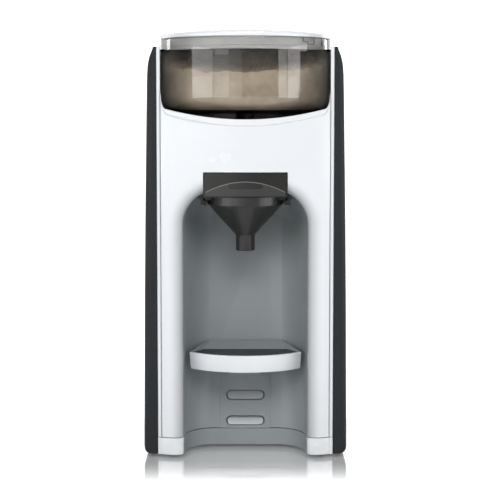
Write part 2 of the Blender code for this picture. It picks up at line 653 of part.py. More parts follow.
def funnel(smoky, black):
    at = (0, OUTLET_Y, FUNNEL_TOP)
    skin = 1.6
    outside = ((SPOUT_RADIUS, -43.3), (SPOUT_RADIUS, -31.0), (FUNNEL_RADIUS - 1.5, -7.5),
               (FUNNEL_RADIUS, -4.5), (FUNNEL_RADIUS, 0))
    inside = ((FUNNEL_RADIUS - skin, 0), (FUNNEL_RADIUS - skin, -4.0), (FUNNEL_RADIUS - 3.0, -6.5),
              (SPOUT_RADIUS - skin, -30.0), (SPOUT_RADIUS - skin, -43.3))
    made = make_object("funnel", turned(outside + inside, 36), smoky, at, smooth=True)
    wing = prism(rounded_box(-32.7, 32.7, -13.0, 24.0, 1.5, 2), -2.7, -0.5)
    unite(made, tool("funnel_wing", wing, at))
    mouth = ((0, -4), (FUNNEL_RADIUS - skin, -4), (FUNNEL_RADIUS - skin, 4), (0, 4))
    cut(made, tool("funnel_mouth", turned(mouth, 36), at))
    front = front_arc(SHIELD_HALF, 0.0, 16)
    back = [(x, y + 2.0) for x, y in reversed(front)]
    outline = [(x, y - OUTLET_Y) for x, y in front + back]
    shield = prism(outline, SHIELD_BOTTOM - FUNNEL_TOP, SHIELD_TOP - FUNNEL_TOP)
    make_object("funnel_shield", shield, smoky, at)
    frame_outline = [(-35.2, 200.8), (-31.0, 200.8), (-31.0, 204.3), (-33.0, 204.3), (-33.0, 228.0),
                     (33.0, 228.0), (33.0, 204.3), (31.0, 204.3), (31.0, 200.8), (35.2, 200.8),
                     (35.2, 230.0), (-35.2, 230.0)]
    frame = make_object("funnel_frame", prism(frame_outline, -129.5, -83.0, "Y"), black)
    cut(frame, tool("chute_hole", prism(circle(0, OUTLET_Y, 11.4, 28), 220, 240)))
    cut(frame, tool("nozzle_hole", prism(circle(16, -97.0, 4.3, 20), 220, 240)))
    chute = turned(((9.4, 212), (11.0, 212), (11.0, 261.7), (9.4, 261.7)), 28)
    make_object("powder_chute", chute, black, (0, OUTLET_Y, 0), smooth=True)
    nozzle = ((1.5, 214), (4.0, 214), (4.0, 230.3), (6.0, 230.3), (6.0, 236), (0, 236), (0, 228), (1.5, 228))
    make_object("water_nozzle", turned(nozzle, 24), black, (16, -97.0, 0), smooth=True)


def bottle_stand(white, grey, black):
    """White band round the front, grey bracket that rises to the bay wall, and black pad between."""
    at = (0, STAND_Y, STAND_TOP - STAND_BAND)
    radius = (STAND_HALF ** 2 + STAND_SAGITTA ** 2) / (2 * STAND_SAGITTA)
    half_angle = math.degrees(math.asin(STAND_HALF / radius))
    centre_y = STAND_CORNER_Y - STAND_SAGITTA + radius - STAND_Y

    def front(inset, beyond=0.0):
        reach = half_angle + beyond
        return arc(0, centre_y, radius - inset, 270 - reach, 270 + reach, 28)

    rows = []
    for inset, height in ((BAND_TAPER, 0.0), (0.0, STAND_BAND)):
        rows.append([(x, y, height) for x, y in front(inset) + list(reversed(front(BAND_WALL)))])
    make_object("bottle_stand", loft(rows), white, at, smooth=True)

    deck_top = STAND_BAND - DECK_DROP
    rim_top = STAND_BAND - WEDGE_DROP
    neck_top = STAND_BAND + NECK_RISE
    wall = bay_wall_y(at[2]) - STAND_CLEARANCE - STAND_Y
    wall_top = bay_wall_y(at[2] + neck_top) - STAND_CLEARANCE - STAND_Y
    corner_x, corner_y = STAND_HALF - 0.4, STAND_CORNER_Y + 0.8 - STAND_Y
    edge = front(BAND_WALL + GAP, 0.35)
    deck = edge + [(corner_x, corner_y), (NECK_HALF, wall), (-NECK_HALF, wall), (-corner_x, corner_y)]
    bracket = make_object("stand_bracket", prism(deck, DECK_BOTTOM, deck_top), grey, at)
    slope = (neck_top - rim_top) / (wall_top - corner_y)
    side_x, side_y = edge[-1]
    foot = [(side_x, side_y), (corner_x, corner_y), (NECK_HALF, wall)]
    crest = [(side_x, side_y, rim_top + slope * (side_y - corner_y)), (corner_x, corner_y, rim_top),
             (NECK_HALF, wall_top, neck_top)]
    lower = [(x, y, deck_top - 1.0) for x, y in foot]
    wedge_rows = [row + [(-x, y, z) for x, y, z in reversed(row)] for row in (lower, crest)]
    unite(bracket, tool("stand_wedge", loft(wedge_rows), at))

    pad_low, pad_high = deck_top + GAP, deck_top + GAP + PAD_THICKNESS
    pad_back = PAD_BACK_Y - STAND_Y
    pad = front(BAND_WALL + GAP) + [(PAD_BACK_HALF, pad_back), (-PAD_BACK_HALF, pad_back)]
    make_object("stand_pad", prism(pad, pad_low, pad_high), black, at)
    seat_half, seat_back = PAD_BACK_HALF + GAP, pad_back + GAP
    mouth_half, mouth_back = NECK_HALF - 0.8, wall_top - 0.4
    seat = front(BAND_WALL) + [(seat_half, seat_back), (-seat_half, seat_back)]
    mouth = front(BAND_WALL) + [(mouth_half, mouth_back), (-mouth_half, mouth_back)]
    levels = ((seat, deck_top), (seat, pad_high), (mouth, neck_top + 0.2))
    scoop = loft([[(x, y, z) for x, y in outline] for outline, z in levels])
    cut(bracket, tool("pad_seat", scoop, at))
    unite(bracket, tool("stand_tongue", prism(TONGUE, -TONGUE_HALF, TONGUE_HALF, "X"), at))


def control_panel(cover, black, glass, button_grey, board_green):
    """Bezel, display window and six push buttons, square to the slightly leaning cover."""
    frame = bpy.data.objects.new("control_panel_frame", None)
    frame.location = (PANEL_X * MM, PANEL_Y * MM, PANEL_Z * MM)
    frame.rotation_euler = (0, -PANEL_LEAN, 0)
    bpy.context.scene.collection.objects.link(frame)
    half_wide, half_tall = PANEL_WIDE / 2, PANEL_TALL / 2
    outline = rounded_box(-half_wide, half_wide, -half_tall, half_tall, 8.0)
    hole = rounded_box(-half_wide - GAP, half_wide + GAP, -half_tall - GAP, half_tall + GAP, 8.3)
    cut(cover, tool("panel_opening", prism(hole, -8, 8, "X"), (0, 0, 0), frame))
    bezel = make_object("control_bezel", prism(outline, -2.6, 0.5, "X"), black, (0, 0, 0), frame)
    window = rounded_box(-17.0, 17.0, 14.0, 40.0, 2.5)
    cut(bezel, tool("window_hole", prism(window, -5, 5, "X"), (0, 0, 0), frame))
    lens = rounded_box(-16.7, 16.7, 14.3, 39.7, 2.2)
    make_object("display_lens", prism(lens, -1.6, 0.3, "X"), glass, (0, 0, 0), frame)
    names = ("power_button", "start_button", "volume_up_button", "volume_down_button",
             "temperature_button", "powder_setting_button")
    for index, name in enumerate(names):
        at = (0, 10.5 * (1 if index % 2 else -1), 3.0 - 18.0 * (index // 2))
        cap = turned(((0, -2.4), (7.6, -2.4), (7.6, -1.5), (6.4, -1.5), (6.4, 0.7), (6.0, 1.0), (0, 1.0)), 16)
        socket = turned(((0, -5), (6.7, -5), (6.7, 5), (0, 5)), 16)
        for bm in (cap, socket):
            bmesh.ops.rotate(bm, matrix=Matrix.Rotation(math.pi / 2, 3, "Y"), verts=bm.verts[:])
        cut(bezel, tool(name + "_hole", socket, at, frame))
        flange = turned(((0, -5), (7.9, -5), (7.9, -1.2), (0, -1.2)), 16)
        bmesh.ops.rotate(flange, matrix=Matrix.Rotation(math.pi / 2, 3, "Y"), verts=flange.verts[:])
        cut(bezel, tool(name + "_room", flange, at, frame))
        make_object(name, cap, button_grey, at, frame, True)
    board = box(-half_wide + 3, half_wide - 3, -half_tall + 3, half_tall - 3)
    make_object("control_board", prism(board, -5.6, -4.2, "X"), board_green, (0, 0, 0), frame)


def smooth_route(points, steps=3):
    """A Catmull-Rom curve through the given points."""
    padded = [points[0]] + list(points) + [points[-1]]
    route = []
    for index in range(len(points) - 1):
        before, start, end, after = padded[index:index + 4]
        for step in range(steps):
            t = step / steps
            route.append(tuple(0.5 * (2 * b + (c - a) * t + (2 * a - 5 * b + 4 * c - d) * t * t
                                      + (3 * b - a - 3 * c + d) * t ** 3)
                               for a, b, c, d in zip(before, start, end, after)))
    route.append(points[-1])
    return route


def hose(name, points, radius, mat):
    curve = bpy.data.curves.new(name, "CURVE")
    curve.dimensions = "3D"
    curve.bevel_depth = radius * MM
    curve.bevel_resolution = 2
    curve.use_fill_caps = True
    route = smooth_route(points)
    spline = curve.splines.new("POLY")
    spline.points.add(len(route) - 1)
    for point, (x, y, z) in zip(spline.points, route):
        point.co = (x * MM, y * MM, z * MM, 1.0)
    curve.materials.append(mat)
    made = bpy.data.objects.new(name, curve)
    bpy.context.scene.collection.objects.link(made)


def water_circuit(steel, black, silicone, board_green):
    pump = turned(((0, 25), (15, 25), (15, 60), (12, 60), (12, 85), (0, 85)), 28)
    make_object("water_pump", pump, black, (-30, 40, 0), smooth=True)
    heater = turned(((0, 100), (6, 100), (6, 104), (16, 104), (16, 186), (6, 186), (6, 190), (0, 190)), 24)
    make_object("water_heater", heater, steel, (34, 38, 0), smooth=True)
    hose("pump_inlet_hose", ((0, 98, 66), (-4, 92, 50), (-20, 84, 45), (-20, 73, 45), (-22, 64, 45),
                             (-25, 58, 45), (-25, 55.5, 45)), 3.0, silicone)
    hose("pump_outlet_hose", ((-30, 40, 85.5), (-30, 40, 91), (-26, 40, 99), (-14, 39, 103), (4, 38, 92),
                              (20, 38, 82), (31, 38, 84), (34, 38, 92), (34, 38, 99.3)), 3.0, silicone)
    hose("nozzle_hose", ((16, -90.4, 233.6), (16, -87, 233.6), (22, -78, 233.4), (30, -62, 233.4),
                         (32, -30, 233.0), (33, 5, 228), (34, 30, 214), (34, 38, 198), (34, 38, 190.8)),
         3.0, silicone)
    make_object("main_board", prism(box(-55, 55, 210, 300), 62.0, 63.6, "Y"), board_green)
    make_object("power_board", prism(box(-55, -5, -55, 10), 24.0, 25.6), board_green)


def main():
    clear_scene()
    white = material("white_plastic", WHITE, 0.25)
    grey = material("grey_plastic", GREY, 0.45)
    charcoal = material("charcoal_plastic", CHARCOAL, 0.4)
    black = material("black_plastic", BLACK, 0.45)
    smoky = material("smoky_plastic", (0.05, 0.05, 0.05), 0.15, alpha=0.7)
    clear = material("clear_plastic", (0.75, 0.72, 0.68), 0.08, alpha=0.35)
    rubber = material("rubber", (0.02, 0.02, 0.02), 0.8)
    steel = material("steel", (0.6, 0.6, 0.6), 0.3, 1.0)
    glass = material("display_glass", (0.01, 0.012, 0.014), 0.05)
    keys = material("key_plastic", (0.3, 0.31, 0.32), 0.4)
    board = material("board", (0.02, 0.16, 0.07), 0.5)
    silicone = material("silicone", (0.75, 0.75, 0.73), 0.4)
    orange = material("float_plastic", (0.8, 0.3, 0.05), 0.4)
    base(white, grey, rubber, steel)
    front_housing(white)
    plate_low = bay_liner(grey)
    slot_plate(grey, plate_low)
    side_frame("left_side_frame", -1, white)
    side_frame("right_side_frame", 1, white)
    side_cover("left_side_cover", -1, charcoal)
    cover = side_cover("right_side_cover", 1, charcoal)
    container_seat(black)
    top_deck(charcoal)
    rear_housing(charcoal)
    tank_dock(charcoal, black)
    water_tank(clear, charcoal, black, orange)
    container(clear, black, white)
    drive(steel, black, white)
    funnel(smoky, black)
    bottle_stand(white, grey, black)
    control_panel(cover, black, glass, keys, board)
    water_circuit(steel, black, silicone, board)


main()
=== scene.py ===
"""Looks of the formula dispenser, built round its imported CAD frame.

Shapes are drawn in millimetres in the frame's own axes (-Y front, +Z up) and become metres when a
mesh is made. Their sizes come from the boxes of the CAD nodes that they stand for.
"""
import math

import bmesh
import bpy
from mathutils import Matrix, Vector


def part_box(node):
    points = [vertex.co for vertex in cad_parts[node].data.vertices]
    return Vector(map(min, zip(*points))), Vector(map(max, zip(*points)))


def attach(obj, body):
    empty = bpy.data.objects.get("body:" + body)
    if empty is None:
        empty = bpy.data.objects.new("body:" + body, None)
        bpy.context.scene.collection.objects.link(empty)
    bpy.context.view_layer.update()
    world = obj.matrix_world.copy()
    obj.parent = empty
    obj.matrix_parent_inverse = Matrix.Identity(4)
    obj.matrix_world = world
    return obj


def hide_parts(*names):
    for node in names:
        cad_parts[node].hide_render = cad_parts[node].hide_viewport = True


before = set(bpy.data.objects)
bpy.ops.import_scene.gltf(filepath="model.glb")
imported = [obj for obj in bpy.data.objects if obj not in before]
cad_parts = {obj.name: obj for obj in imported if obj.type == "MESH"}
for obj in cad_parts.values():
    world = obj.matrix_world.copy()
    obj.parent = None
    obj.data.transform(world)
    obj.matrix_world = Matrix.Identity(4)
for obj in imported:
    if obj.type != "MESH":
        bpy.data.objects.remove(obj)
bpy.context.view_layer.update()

MM = 0.001
GAP = 0.3                        # between pieces that touch


def limits(node):
    """Lowest and highest corner of a CAD node in millimetres."""
    low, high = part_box(node)
    return low / MM, high / MM


# -------- sizes, from the frame
PANEL_LOW, PANEL_HIGH = limits("front_housing")
FRAME_LOW, FRAME_HIGH = limits("right_side_frame")
BASE_LOW, BASE_HIGH = limits("base_tray")
CAN_LOW, CAN_HIGH = limits("powder_container")
LID_HIGH = limits("container_lid")[1]
FUNNEL_LOW, FUNNEL_HIGH = limits("funnel")
SHIELD_LOW, SHIELD_HIGH = limits("funnel_shield")
STAND_LOW, STAND_HIGH = limits("bottle_stand")
PAD_LOW, PAD_HIGH = limits("stand_pad")
TANK_LOW, TANK_HIGH = limits("water_tank")
PLATE_HIGH = limits("slot_plate")[1]

WALL = 2.5
RAIL_IN = 66.5
RAIL_OUT = 69.3
FRAME_OUT = 72.5
PANEL_HALF = PANEL_HIGH.x
FRONT_Y = PANEL_LOW.y
RAIL_Y = FRAME_LOW.y
CASE_BOTTOM = PANEL_LOW.z
CASE_BACK = FRAME_HIGH.y
FRONT_RADIUS = 176.0
FRONT_CENTRE_Y = FRONT_RADIUS + FRONT_Y
EDGE_WIDTH = 12.0
EDGE_SINK = 8.5
HORN_START = 62.0
HORN_RISE = 14.0
LIP_MIDDLE = 267.8
LIP_RISE = 8.1

ARCH_HALF = 48.9
ARCH_RADIUS = 28.0
ARCH_SPRING = 185.0
BAY_DEPTH = 33.5
BAY_LEAN = 0.155
BAY_BACK_HALF = 28.8
BAY_BACK_SPRING = 184.5
BAY_BACK_RADIUS = 6.5
SLOT_HALF = 15.5
SLOT_TALL = 7.4
SLOT_LEVELS = (22.5, 43.0, 63.9)
SLOT_SINK = 0.25
FLAP_HALF = 14.7
FLAP_TALL = 5.9
FLAP_DROP = 0.35                 # flap's middle below the slot's middle
EDGE_STEPS = (0.0, 0.15, 0.4, 0.8, 1.4, 2.2, 3.2, 4.4, 5.8, 7.4, 9.2, 10.8, EDGE_WIDTH)
ARCH_STEPS = (24, 24, 16)        # points on each side, each corner and the top

AXIS_Y = (CAN_LOW.y + CAN_HIGH.y) / 2
CAN_RADIUS = CAN_HIGH.x
CAN_WALL = 2.2
CAN_FILLET = 13.0
CAN_INSIDE = CAN_RADIUS - CAN_WALL
OUTLET_Y = -115.0
FUNNEL_RADIUS = 30.0
FUNNEL_Y = FUNNEL_LOW.y + FUNNEL_RADIUS
SPOUT_RADIUS = 7.5
SHIELD_SINK = 0.25
STAND_HALF = 44.6
STAND_SAGITTA = 20.4
STAND_CORNER_Y = -119.0
PAD_BACK_HALF = 33.8
TANK_OUTLET_Y = 110.0
GUIDE_ROD = (-50.0, 92.0)
CONTROLS_AT = (78.9, -84.0, 196.0)
CONTROLS_LEAN = math.atan(1.35 / 100.0)
BUTTON_SIDE = 10.5               # from the panel's middle line to each column of buttons
BUTTON_TOP = 3.0
BUTTON_PITCH = 18.0
SEAM = 0.35                      # extra gap that reads as a dark seam line

# Outer half width of the side covers at a few heights
COVER_PROFILE = ((2.8, 77.0), (3.1, 78.1), (3.8, 79.1), (5.0, 79.9), (6.8, 80.4), (9.0, 80.6), (127.0, 79.6),
                 (165.0, 79.1), (204.0, 78.6), (243.0, 77.9), (270.0, 77.45), (289.0, 77.1), (302.0, 76.8),
                 (308.4, 76.4), (312.6, 75.8), (316.8, 74.7), (320.2, 73.3), (322.6, 72.2), (324.1, 71.4))
COVER_INNER = 69.6

# -------- light and tone
FLOOR_GLOW = 0.85                # as the camera sees it
FLOOR_LIGHT = 0.25               # as it lights the object
PATCH_GLOW = 0.3                 # share of the glow left in the polished patch of the floor
PATCH_POLISH = 0.72
ARCH_PAINTED_SHADE_WIDTH = 11.5                  # width of the painted shade round the arch
# painted shade round the arch: colour factor against distance from the arch edge, as a share of the width
ARCH_PAINTED_SHADE_TONES = ((0.0, 0.46), (0.25, 0.62), (0.75, 0.93), (1.0, 1.0))
WORLD_GLOW = 0.12
CAMERA_AT = (0.0005, -1.2564, 0.2712)
CAMERA_TILT = 84.8
CAMERA_LENS = 105.33
LIGHT_DISTANCE = 1.3
# Name, azimuth in degrees, width and height in metres, brightness
SOFTBOXES = (("right_softbox", 70.0, 0.74, 0.4, 4.5), ("right_fill", 47.0, 0.26, 0.4, 3.5),
             ("left_softbox", -56.0, 0.70, 0.4, 4.0), ("left_fill", -30.0, 0.46, 0.4, 2.2),
             ("left_edge_fill", -12.0, 0.34, 0.4, 1.1),
             ("rear_left_strip", -121.0, 0.2, 0.8, 6.0), ("rear_right_strip", 134.0, 0.2, 0.8, 6.0))
SOFTBOX_HEIGHT = 0.34
FRONT_POWER = 20.8
TOP_POWER = 4.0


# -------- mesh helpers
def as_object(name, bm):
    """Turn a bmesh in millimetres into an object in the scene."""
    bmesh.ops.scale(bm, vec=(MM, MM, MM), verts=bm.verts[:])
    mesh = bpy.data.meshes.new(name)
    bm.to_mesh(mesh)
    bm.free()
    made = bpy.data.objects.new(name, mesh)
    bpy.context.scene.collection.objects.link(made)
    return made


def smooth(target, angle):
    target.data.shade_smooth()
    target.data.set_sharp_from_angle(angle=math.radians(angle))


def finish_mesh(name, bm, mat, body, replaces=(), angle=40.0, bevel=0.0, segments=2):
    """Turn a bmesh in millimetres into a smooth-shaded piece that rides on a body."""
    bmesh.ops.recalc_face_normals(bm, faces=bm.faces[:])
    made = as_object(name, bm)
    smooth(made, angle)
    made.data.materials.append(mat)
    if bevel:
        add_bevel(made, bevel, segments)
    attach(made, body)
    if replaces:
        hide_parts(*replaces)
    return made


def add_bevel(target, width, segments=2):
    bevel = target.modifiers.new("soft_edges", "BEVEL")
    bevel.width = width * MM
    bevel.segments = segments
    bevel.limit_method = "ANGLE"
    bevel.angle_limit = math.radians(35)
    bevel.harden_normals = True
    bevel.use_clamp_overlap = True


def cut(target, bm):
    """Cut a hole through a piece at once, with a solid in millimetres."""
    bmesh.ops.recalc_face_normals(bm, faces=bm.faces[:])
    cutter = as_object("cutter", bm)
    step = target.modifiers.new("cut", "BOOLEAN")
    step.operation = "DIFFERENCE"
    step.solver = "EXACT"
    step.object = cutter
    while target.modifiers[0] != step:
        target.modifiers.move(target.modifiers.find(step.name), 0)
    bpy.context.view_layer.objects.active = target
    with bpy.context.temp_override(object=target, active_object=target):
        bpy.ops.object.modifier_apply(modifier=step.name)
    bpy.data.objects.remove(cutter, do_unlink=True)
    smooth(target, 40)


def thicken(target, thickness, offset):
    """Give a surface its wall thickness at once."""
    wall = target.modifiers.new("wall", "SOLIDIFY")
    wall.thickness = thickness * MM
    wall.offset = offset
    with bpy.context.temp_override(object=target, active_object=target):
        bpy.ops.object.modifier_apply(modifier=wall.name)


def arc(centre_u, centre_v, radius, start, end, steps):
    """Points on an arc, angles in degrees, both ends included."""
    points = []
    for index in range(steps + 1):
        angle = math.radians(start + (end - start) * index / steps)
        points.append((centre_u + radius * math.cos(angle), centre_v + radius * math.sin(angle)))
    return points


def circle(centre_u, centre_v, radius, steps):
    return arc(centre_u, centre_v, radius, 0, 360, steps)[:-1]


def rounded_box(low_u, high_u, low_v, high_v, radius, steps=8):
    corners = ((high_u - radius, high_v - radius, 0), (low_u + radius, high_v - radius, 90),
               (low_u + radius, low_v + radius, 180), (high_u - radius, low_v + radius, 270))
    points = []
    for centre_u, centre_v, start in corners:
        points += arc(centre_u, centre_v, radius, start, start + 90, steps)
    return points


def place(u, v, w, axis):
    """An outline point (u, v) at distance w along the extrusion axis."""
    return {"X": (w, u, v), "Y": (u, w, v), "Z": (u, v, w)}[axis]


def loft(sections, closed_rows=True, caps=True):
    """Skin a list of equally long rows of points."""
    bm = bmesh.new()
    rows = [[bm.verts.new(point) for point in section] for section in sections]
    count = len(rows[0])
    for row, upper in zip(rows, rows[1:]):
        for index in range(count if closed_rows else count - 1):
            after = (index + 1) % count
            bm.faces.new((row[index], row[after], upper[after], upper[index]))
    if caps:
        bm.faces.new(list(reversed(rows[0])))
        bm.faces.new(rows[-1])
    return bm


def prism(outline, low, high, axis="Z"):
    return loft([[place(u, v, w, axis) for u, v in outline] for w in (low, high)])


def turned(profile, centre, steps=128):
    """Revolve a closed (radius, height) outline about the vertical through centre (x, y)."""
    bm = bmesh.new()
    x0, y0 = centre
    on_axis = {height: bm.verts.new((x0, y0, height)) for radius, height in profile if radius == 0}
    rings = []
    for radius, height in profile:
        if radius == 0:
            rings.append([on_axis[height]] * steps)
        else:
            rings.append([bm.verts.new((x, y, height)) for x, y in circle(x0, y0, radius, steps)])
    for ring, following in zip(rings, rings[1:] + rings[:1]):
        for index in range(steps):
            after = (index + 1) % steps
            corners = []
            for vert in (ring[index], ring[after], following[after], following[index]):
                if vert not in corners:
                    corners.append(vert)
            if len(corners) > 2:
                bm.faces.new(corners)
    return bm


def soft_corner(points, radius, steps=4):
    """Round the corners of a closed outline; radius is one number or one for each point."""
    radii = radius if isinstance(radius, (list, tuple)) else [radius] * len(points)
    result = []
    for index, (u, v) in enumerate(points):
        size = radii[index]
        here = Vector((u, v))
        before = Vector(points[index - 1]) - here
        after = Vector(points[(index + 1) % len(points)]) - here
        reach = min(size, before.length * 0.45, after.length * 0.45)
        if reach < 0.01:
            result.append((u, v))
            continue
        start = here + before.normalized() * reach
        end = here + after.normalized() * reach
        for step in range(steps + 1):
            t = step / steps
            result.append(tuple(start * (1 - t) ** 2 + here * 2 * t * (1 - t) + end * t * t))
    return result


# -------- materials
class Nodes:
    """Short calls for building a material's node tree round its Principled shader."""

    def __init__(self, name, colour, roughness, **sockets):
        self.material = bpy.data.materials.new(name)
        self.material.use_nodes = True
        self.tree = self.material.node_tree
        self.shader = self.tree.nodes["Principled BSDF"]
        self.set("Base Color", (*colour, 1.0))
        self.set("Roughness", roughness)
        for key, value in sockets.items():
            self.set(key.replace("_", " "), value)
        coordinates = self.tree.nodes.new("ShaderNodeTexCoord")
        self.position = coordinates.outputs["Object"]

    def set(self, socket, value):
        self.shader.inputs[socket].default_value = value

    def link(self, output, target):
        self.tree.links.new(output, target)

    def noise(self, scale, detail=3.0, stretch=None, roughness=0.5):
        node = self.tree.nodes.new("ShaderNodeTexNoise")
        node.inputs["Scale"].default_value = scale
        node.inputs["Detail"].default_value = detail
        node.inputs["Roughness"].default_value = roughness
        source = self.position
        if stretch:
            mapping = self.tree.nodes.new("ShaderNodeMapping")
            mapping.inputs["Scale"].default_value = stretch
            self.link(self.position, mapping.inputs["Vector"])
            source = mapping.outputs["Vector"]
        self.link(source, node.inputs["Vector"])
        return node.outputs["Fac"]

    def ramp(self, source, stops):
        node = self.tree.nodes.new("ShaderNodeValToRGB")
        elements = node.color_ramp.elements
        while len(elements) < len(stops):
            elements.new(0.5)
        for element, (place_at, value) in zip(elements, stops):
            element.position = place_at
            shade = value if isinstance(value, (tuple, list)) else (value, value, value)
            element.color = (*shade, 1.0)
        self.link(source, node.inputs["Fac"])
        return node.outputs["Color"]

    def math(self, operation, first, second):
        node = self.tree.nodes.new("ShaderNodeMath")
        node.operation = operation
        self.link(first, node.inputs[0])
        if isinstance(second, float):
            node.inputs[1].default_value = second
        else:
            self.link(second, node.inputs[1])
        return node.outputs[0]

    def remap(self, source, from_range, to_range=(0.0, 1.0), interpolation="LINEAR"):
        node = self.tree.nodes.new("ShaderNodeMapRange")
        node.interpolation_type = interpolation
        node.inputs["From Min"].default_value, node.inputs["From Max"].default_value = from_range
        node.inputs["To Min"].default_value, node.inputs["To Max"].default_value = to_range
        self.link(source, node.inputs["Value"])
        return node.outputs["Result"]

    def split_position(self):
        node = self.tree.nodes.new("ShaderNodeSeparateXYZ")
        self.link(self.position, node.inputs["Vector"])
        return node.outputs

    def light_path(self, kind):
        return self.tree.nodes.new("ShaderNodeLightPath").outputs[kind]

    def mix_in(self, factor, shader):
        """Mix another shader with the Principled one."""
        mix = self.tree.nodes.new("ShaderNodeMixShader")
        output = next(node for node in self.tree.nodes if node.type == "OUTPUT_MATERIAL")
        self.link(factor, mix.inputs["Fac"])
        self.link(self.shader.outputs["BSDF"], mix.inputs[1])
        self.link(shader.outputs["BSDF"], mix.inputs[2])
        self.link(mix.outputs["Shader"], output.inputs["Surface"])

    def drive(self, socket, output):
        self.link(output, self.shader.inputs[socket])

    def bump(self, height, strength, distance):
        node = self.tree.nodes.new("ShaderNodeBump")
        node.inputs["Strength"].default_value = strength
        node.inputs["Distance"].default_value = distance
        self.link(height, node.inputs["Height"])
        self.drive("Normal", node.outputs["Normal"])


def moulded(name, colour, roughness, tone=0.04, grain=900.0, depth=0.00002, **sockets):
    """Moulded plastic: faint tone and gloss variation and a fine surface grain."""
    nodes = Nodes(name, colour, roughness, **sockets)
    low = tuple(max(0.0, c * (1 - tone)) for c in colour)
    high = tuple(min(1.0, c * (1 + tone)) for c in colour)
    nodes.drive("Base Color", nodes.ramp(nodes.noise(9.0, 4.0), [(0.3, low), (0.7, high)]))
    gloss = [(0.25, roughness * 0.85), (0.75, roughness * 1.15)]
    nodes.drive("Roughness", nodes.ramp(nodes.noise(40.0, 5.0), gloss))
    nodes.bump(nodes.noise(grain, 2.0), 0.25, depth)
    return nodes.material


def arch_painted_shade_white():
    """White panel plastic with painted shade: its colour darkens round the arch, as the photo's panel does.
    """
    colour, tone = (0.60, 0.62, 0.64), 0.006
    nodes = Nodes("panel_white_painted_shade_plastic", colour, 0.24)
    spot = nodes.split_position()
    across = nodes.math("ABSOLUTE", spot["X"], 0.0)
    across = nodes.math("MAXIMUM", nodes.math("SUBTRACT", across, (ARCH_HALF - ARCH_RADIUS) * MM), 0.0)
    above = nodes.math("MAXIMUM", nodes.math("SUBTRACT", spot["Z"], ARCH_SPRING * MM), 0.0)
    squares = nodes.math("ADD", nodes.math("MULTIPLY", across, across), nodes.math("MULTIPLY", above, above))
    outside = nodes.math("SUBTRACT", nodes.math("POWER", squares, 0.5), ARCH_RADIUS * MM)
    mix = nodes.tree.nodes.new("ShaderNodeMix")
    mix.data_type = "RGBA"
    mix.blend_type = "MULTIPLY"
    mix.inputs["Factor"].default_value = 1.0
    low, high = tuple(c * (1 - tone) for c in colour), tuple(c * (1 + tone) for c in colour)
    nodes.link(nodes.ramp(nodes.noise(9.0, 4.0), [(0.3, low), (0.7, high)]), mix.inputs["A"])
    # painted shade: the panel colour is multiplied down towards the arch edge, on top of the real shading of
    # the rolled edge
    nodes.link(nodes.ramp(nodes.math("MULTIPLY", outside, 1 / (ARCH_PAINTED_SHADE_WIDTH * MM)), ARCH_PAINTED_SHADE_TONES), mix.inputs["B"])
    nodes.drive("Base Color", mix.outputs["Result"])
    nodes.drive("Roughness", nodes.ramp(nodes.noise(40.0, 5.0), [(0.25, 0.21), (0.75, 0.28)]))
    nodes.bump(nodes.noise(900.0, 2.0), 0.25, 0.00002)
    return nodes.material


def through_lamps(nodes):
    """Let lamp rays pass a clear wall, so that what is inside stays lit."""
    clear = nodes.tree.nodes.new("ShaderNodeBsdfTransparent")
    clear.inputs["Color"].default_value = (0.62, 0.61, 0.60, 1.0)
    nodes.mix_in(nodes.light_path("Is Shadow Ray"), clear)
    return nodes.material


def clear_plastic(name, tint, roughness=0.03):
    nodes = Nodes(name, tint, roughness, Transmission_Weight=1.0, IOR=1.46)
    gloss = [(0.3, roughness * 0.6), (0.8, roughness * 1.6)]
    nodes.drive("Roughness", nodes.ramp(nodes.noise(30.0, 4.0), gloss))
    nodes.bump(nodes.noise(25.0, 2.0), 0.15, 0.00005)
    return through_lamps(nodes)


def metal(name, colour, roughness, stretch):
    nodes = Nodes(name, colour, roughness, Metallic=1.0)
    brushed = nodes.noise(400.0, 3.0, stretch)
    nodes.drive("Roughness", nodes.ramp(brushed, [(0.2, roughness * 0.7), (0.8, roughness * 1.4)]))
    nodes.bump(brushed, 0.2, 0.00003)
    return nodes.material


def powder_material():
    """Dry milk powder, pale brown, with clumps."""
    nodes = Nodes("milk_powder", (0.60, 0.52, 0.43), 0.95)
    clumps = nodes.noise(60.0, 6.0, roughness=0.7)
    shades = [(0.3, (0.42, 0.35, 0.27)), (0.5, (0.54, 0.46, 0.36)), (0.7, (0.64, 0.56, 0.46))]
    nodes.drive("Base Color", nodes.ramp(clumps, shades))
    nodes.bump(nodes.noise(350.0, 6.0, roughness=0.7), 0.8, 0.0006)
    return nodes.material


def board_material():
    nodes = Nodes("circuit_board", (0.02, 0.16, 0.07), 0.45)
    voronoi = nodes.tree.nodes.new("ShaderNodeTexVoronoi")
    voronoi.distance = "MANHATTAN"
    voronoi.inputs["Scale"].default_value = 180.0
    nodes.link(nodes.position, voronoi.inputs["Vector"])
    shades = [(0.1, (0.01, 0.08, 0.035)), (0.5, (0.02, 0.17, 0.07))]
    nodes.drive("Base Color", nodes.ramp(voronoi.outputs["Distance"], shades))
    nodes.bump(voronoi.outputs["Distance"], 0.3, 0.0002)
    return nodes.material


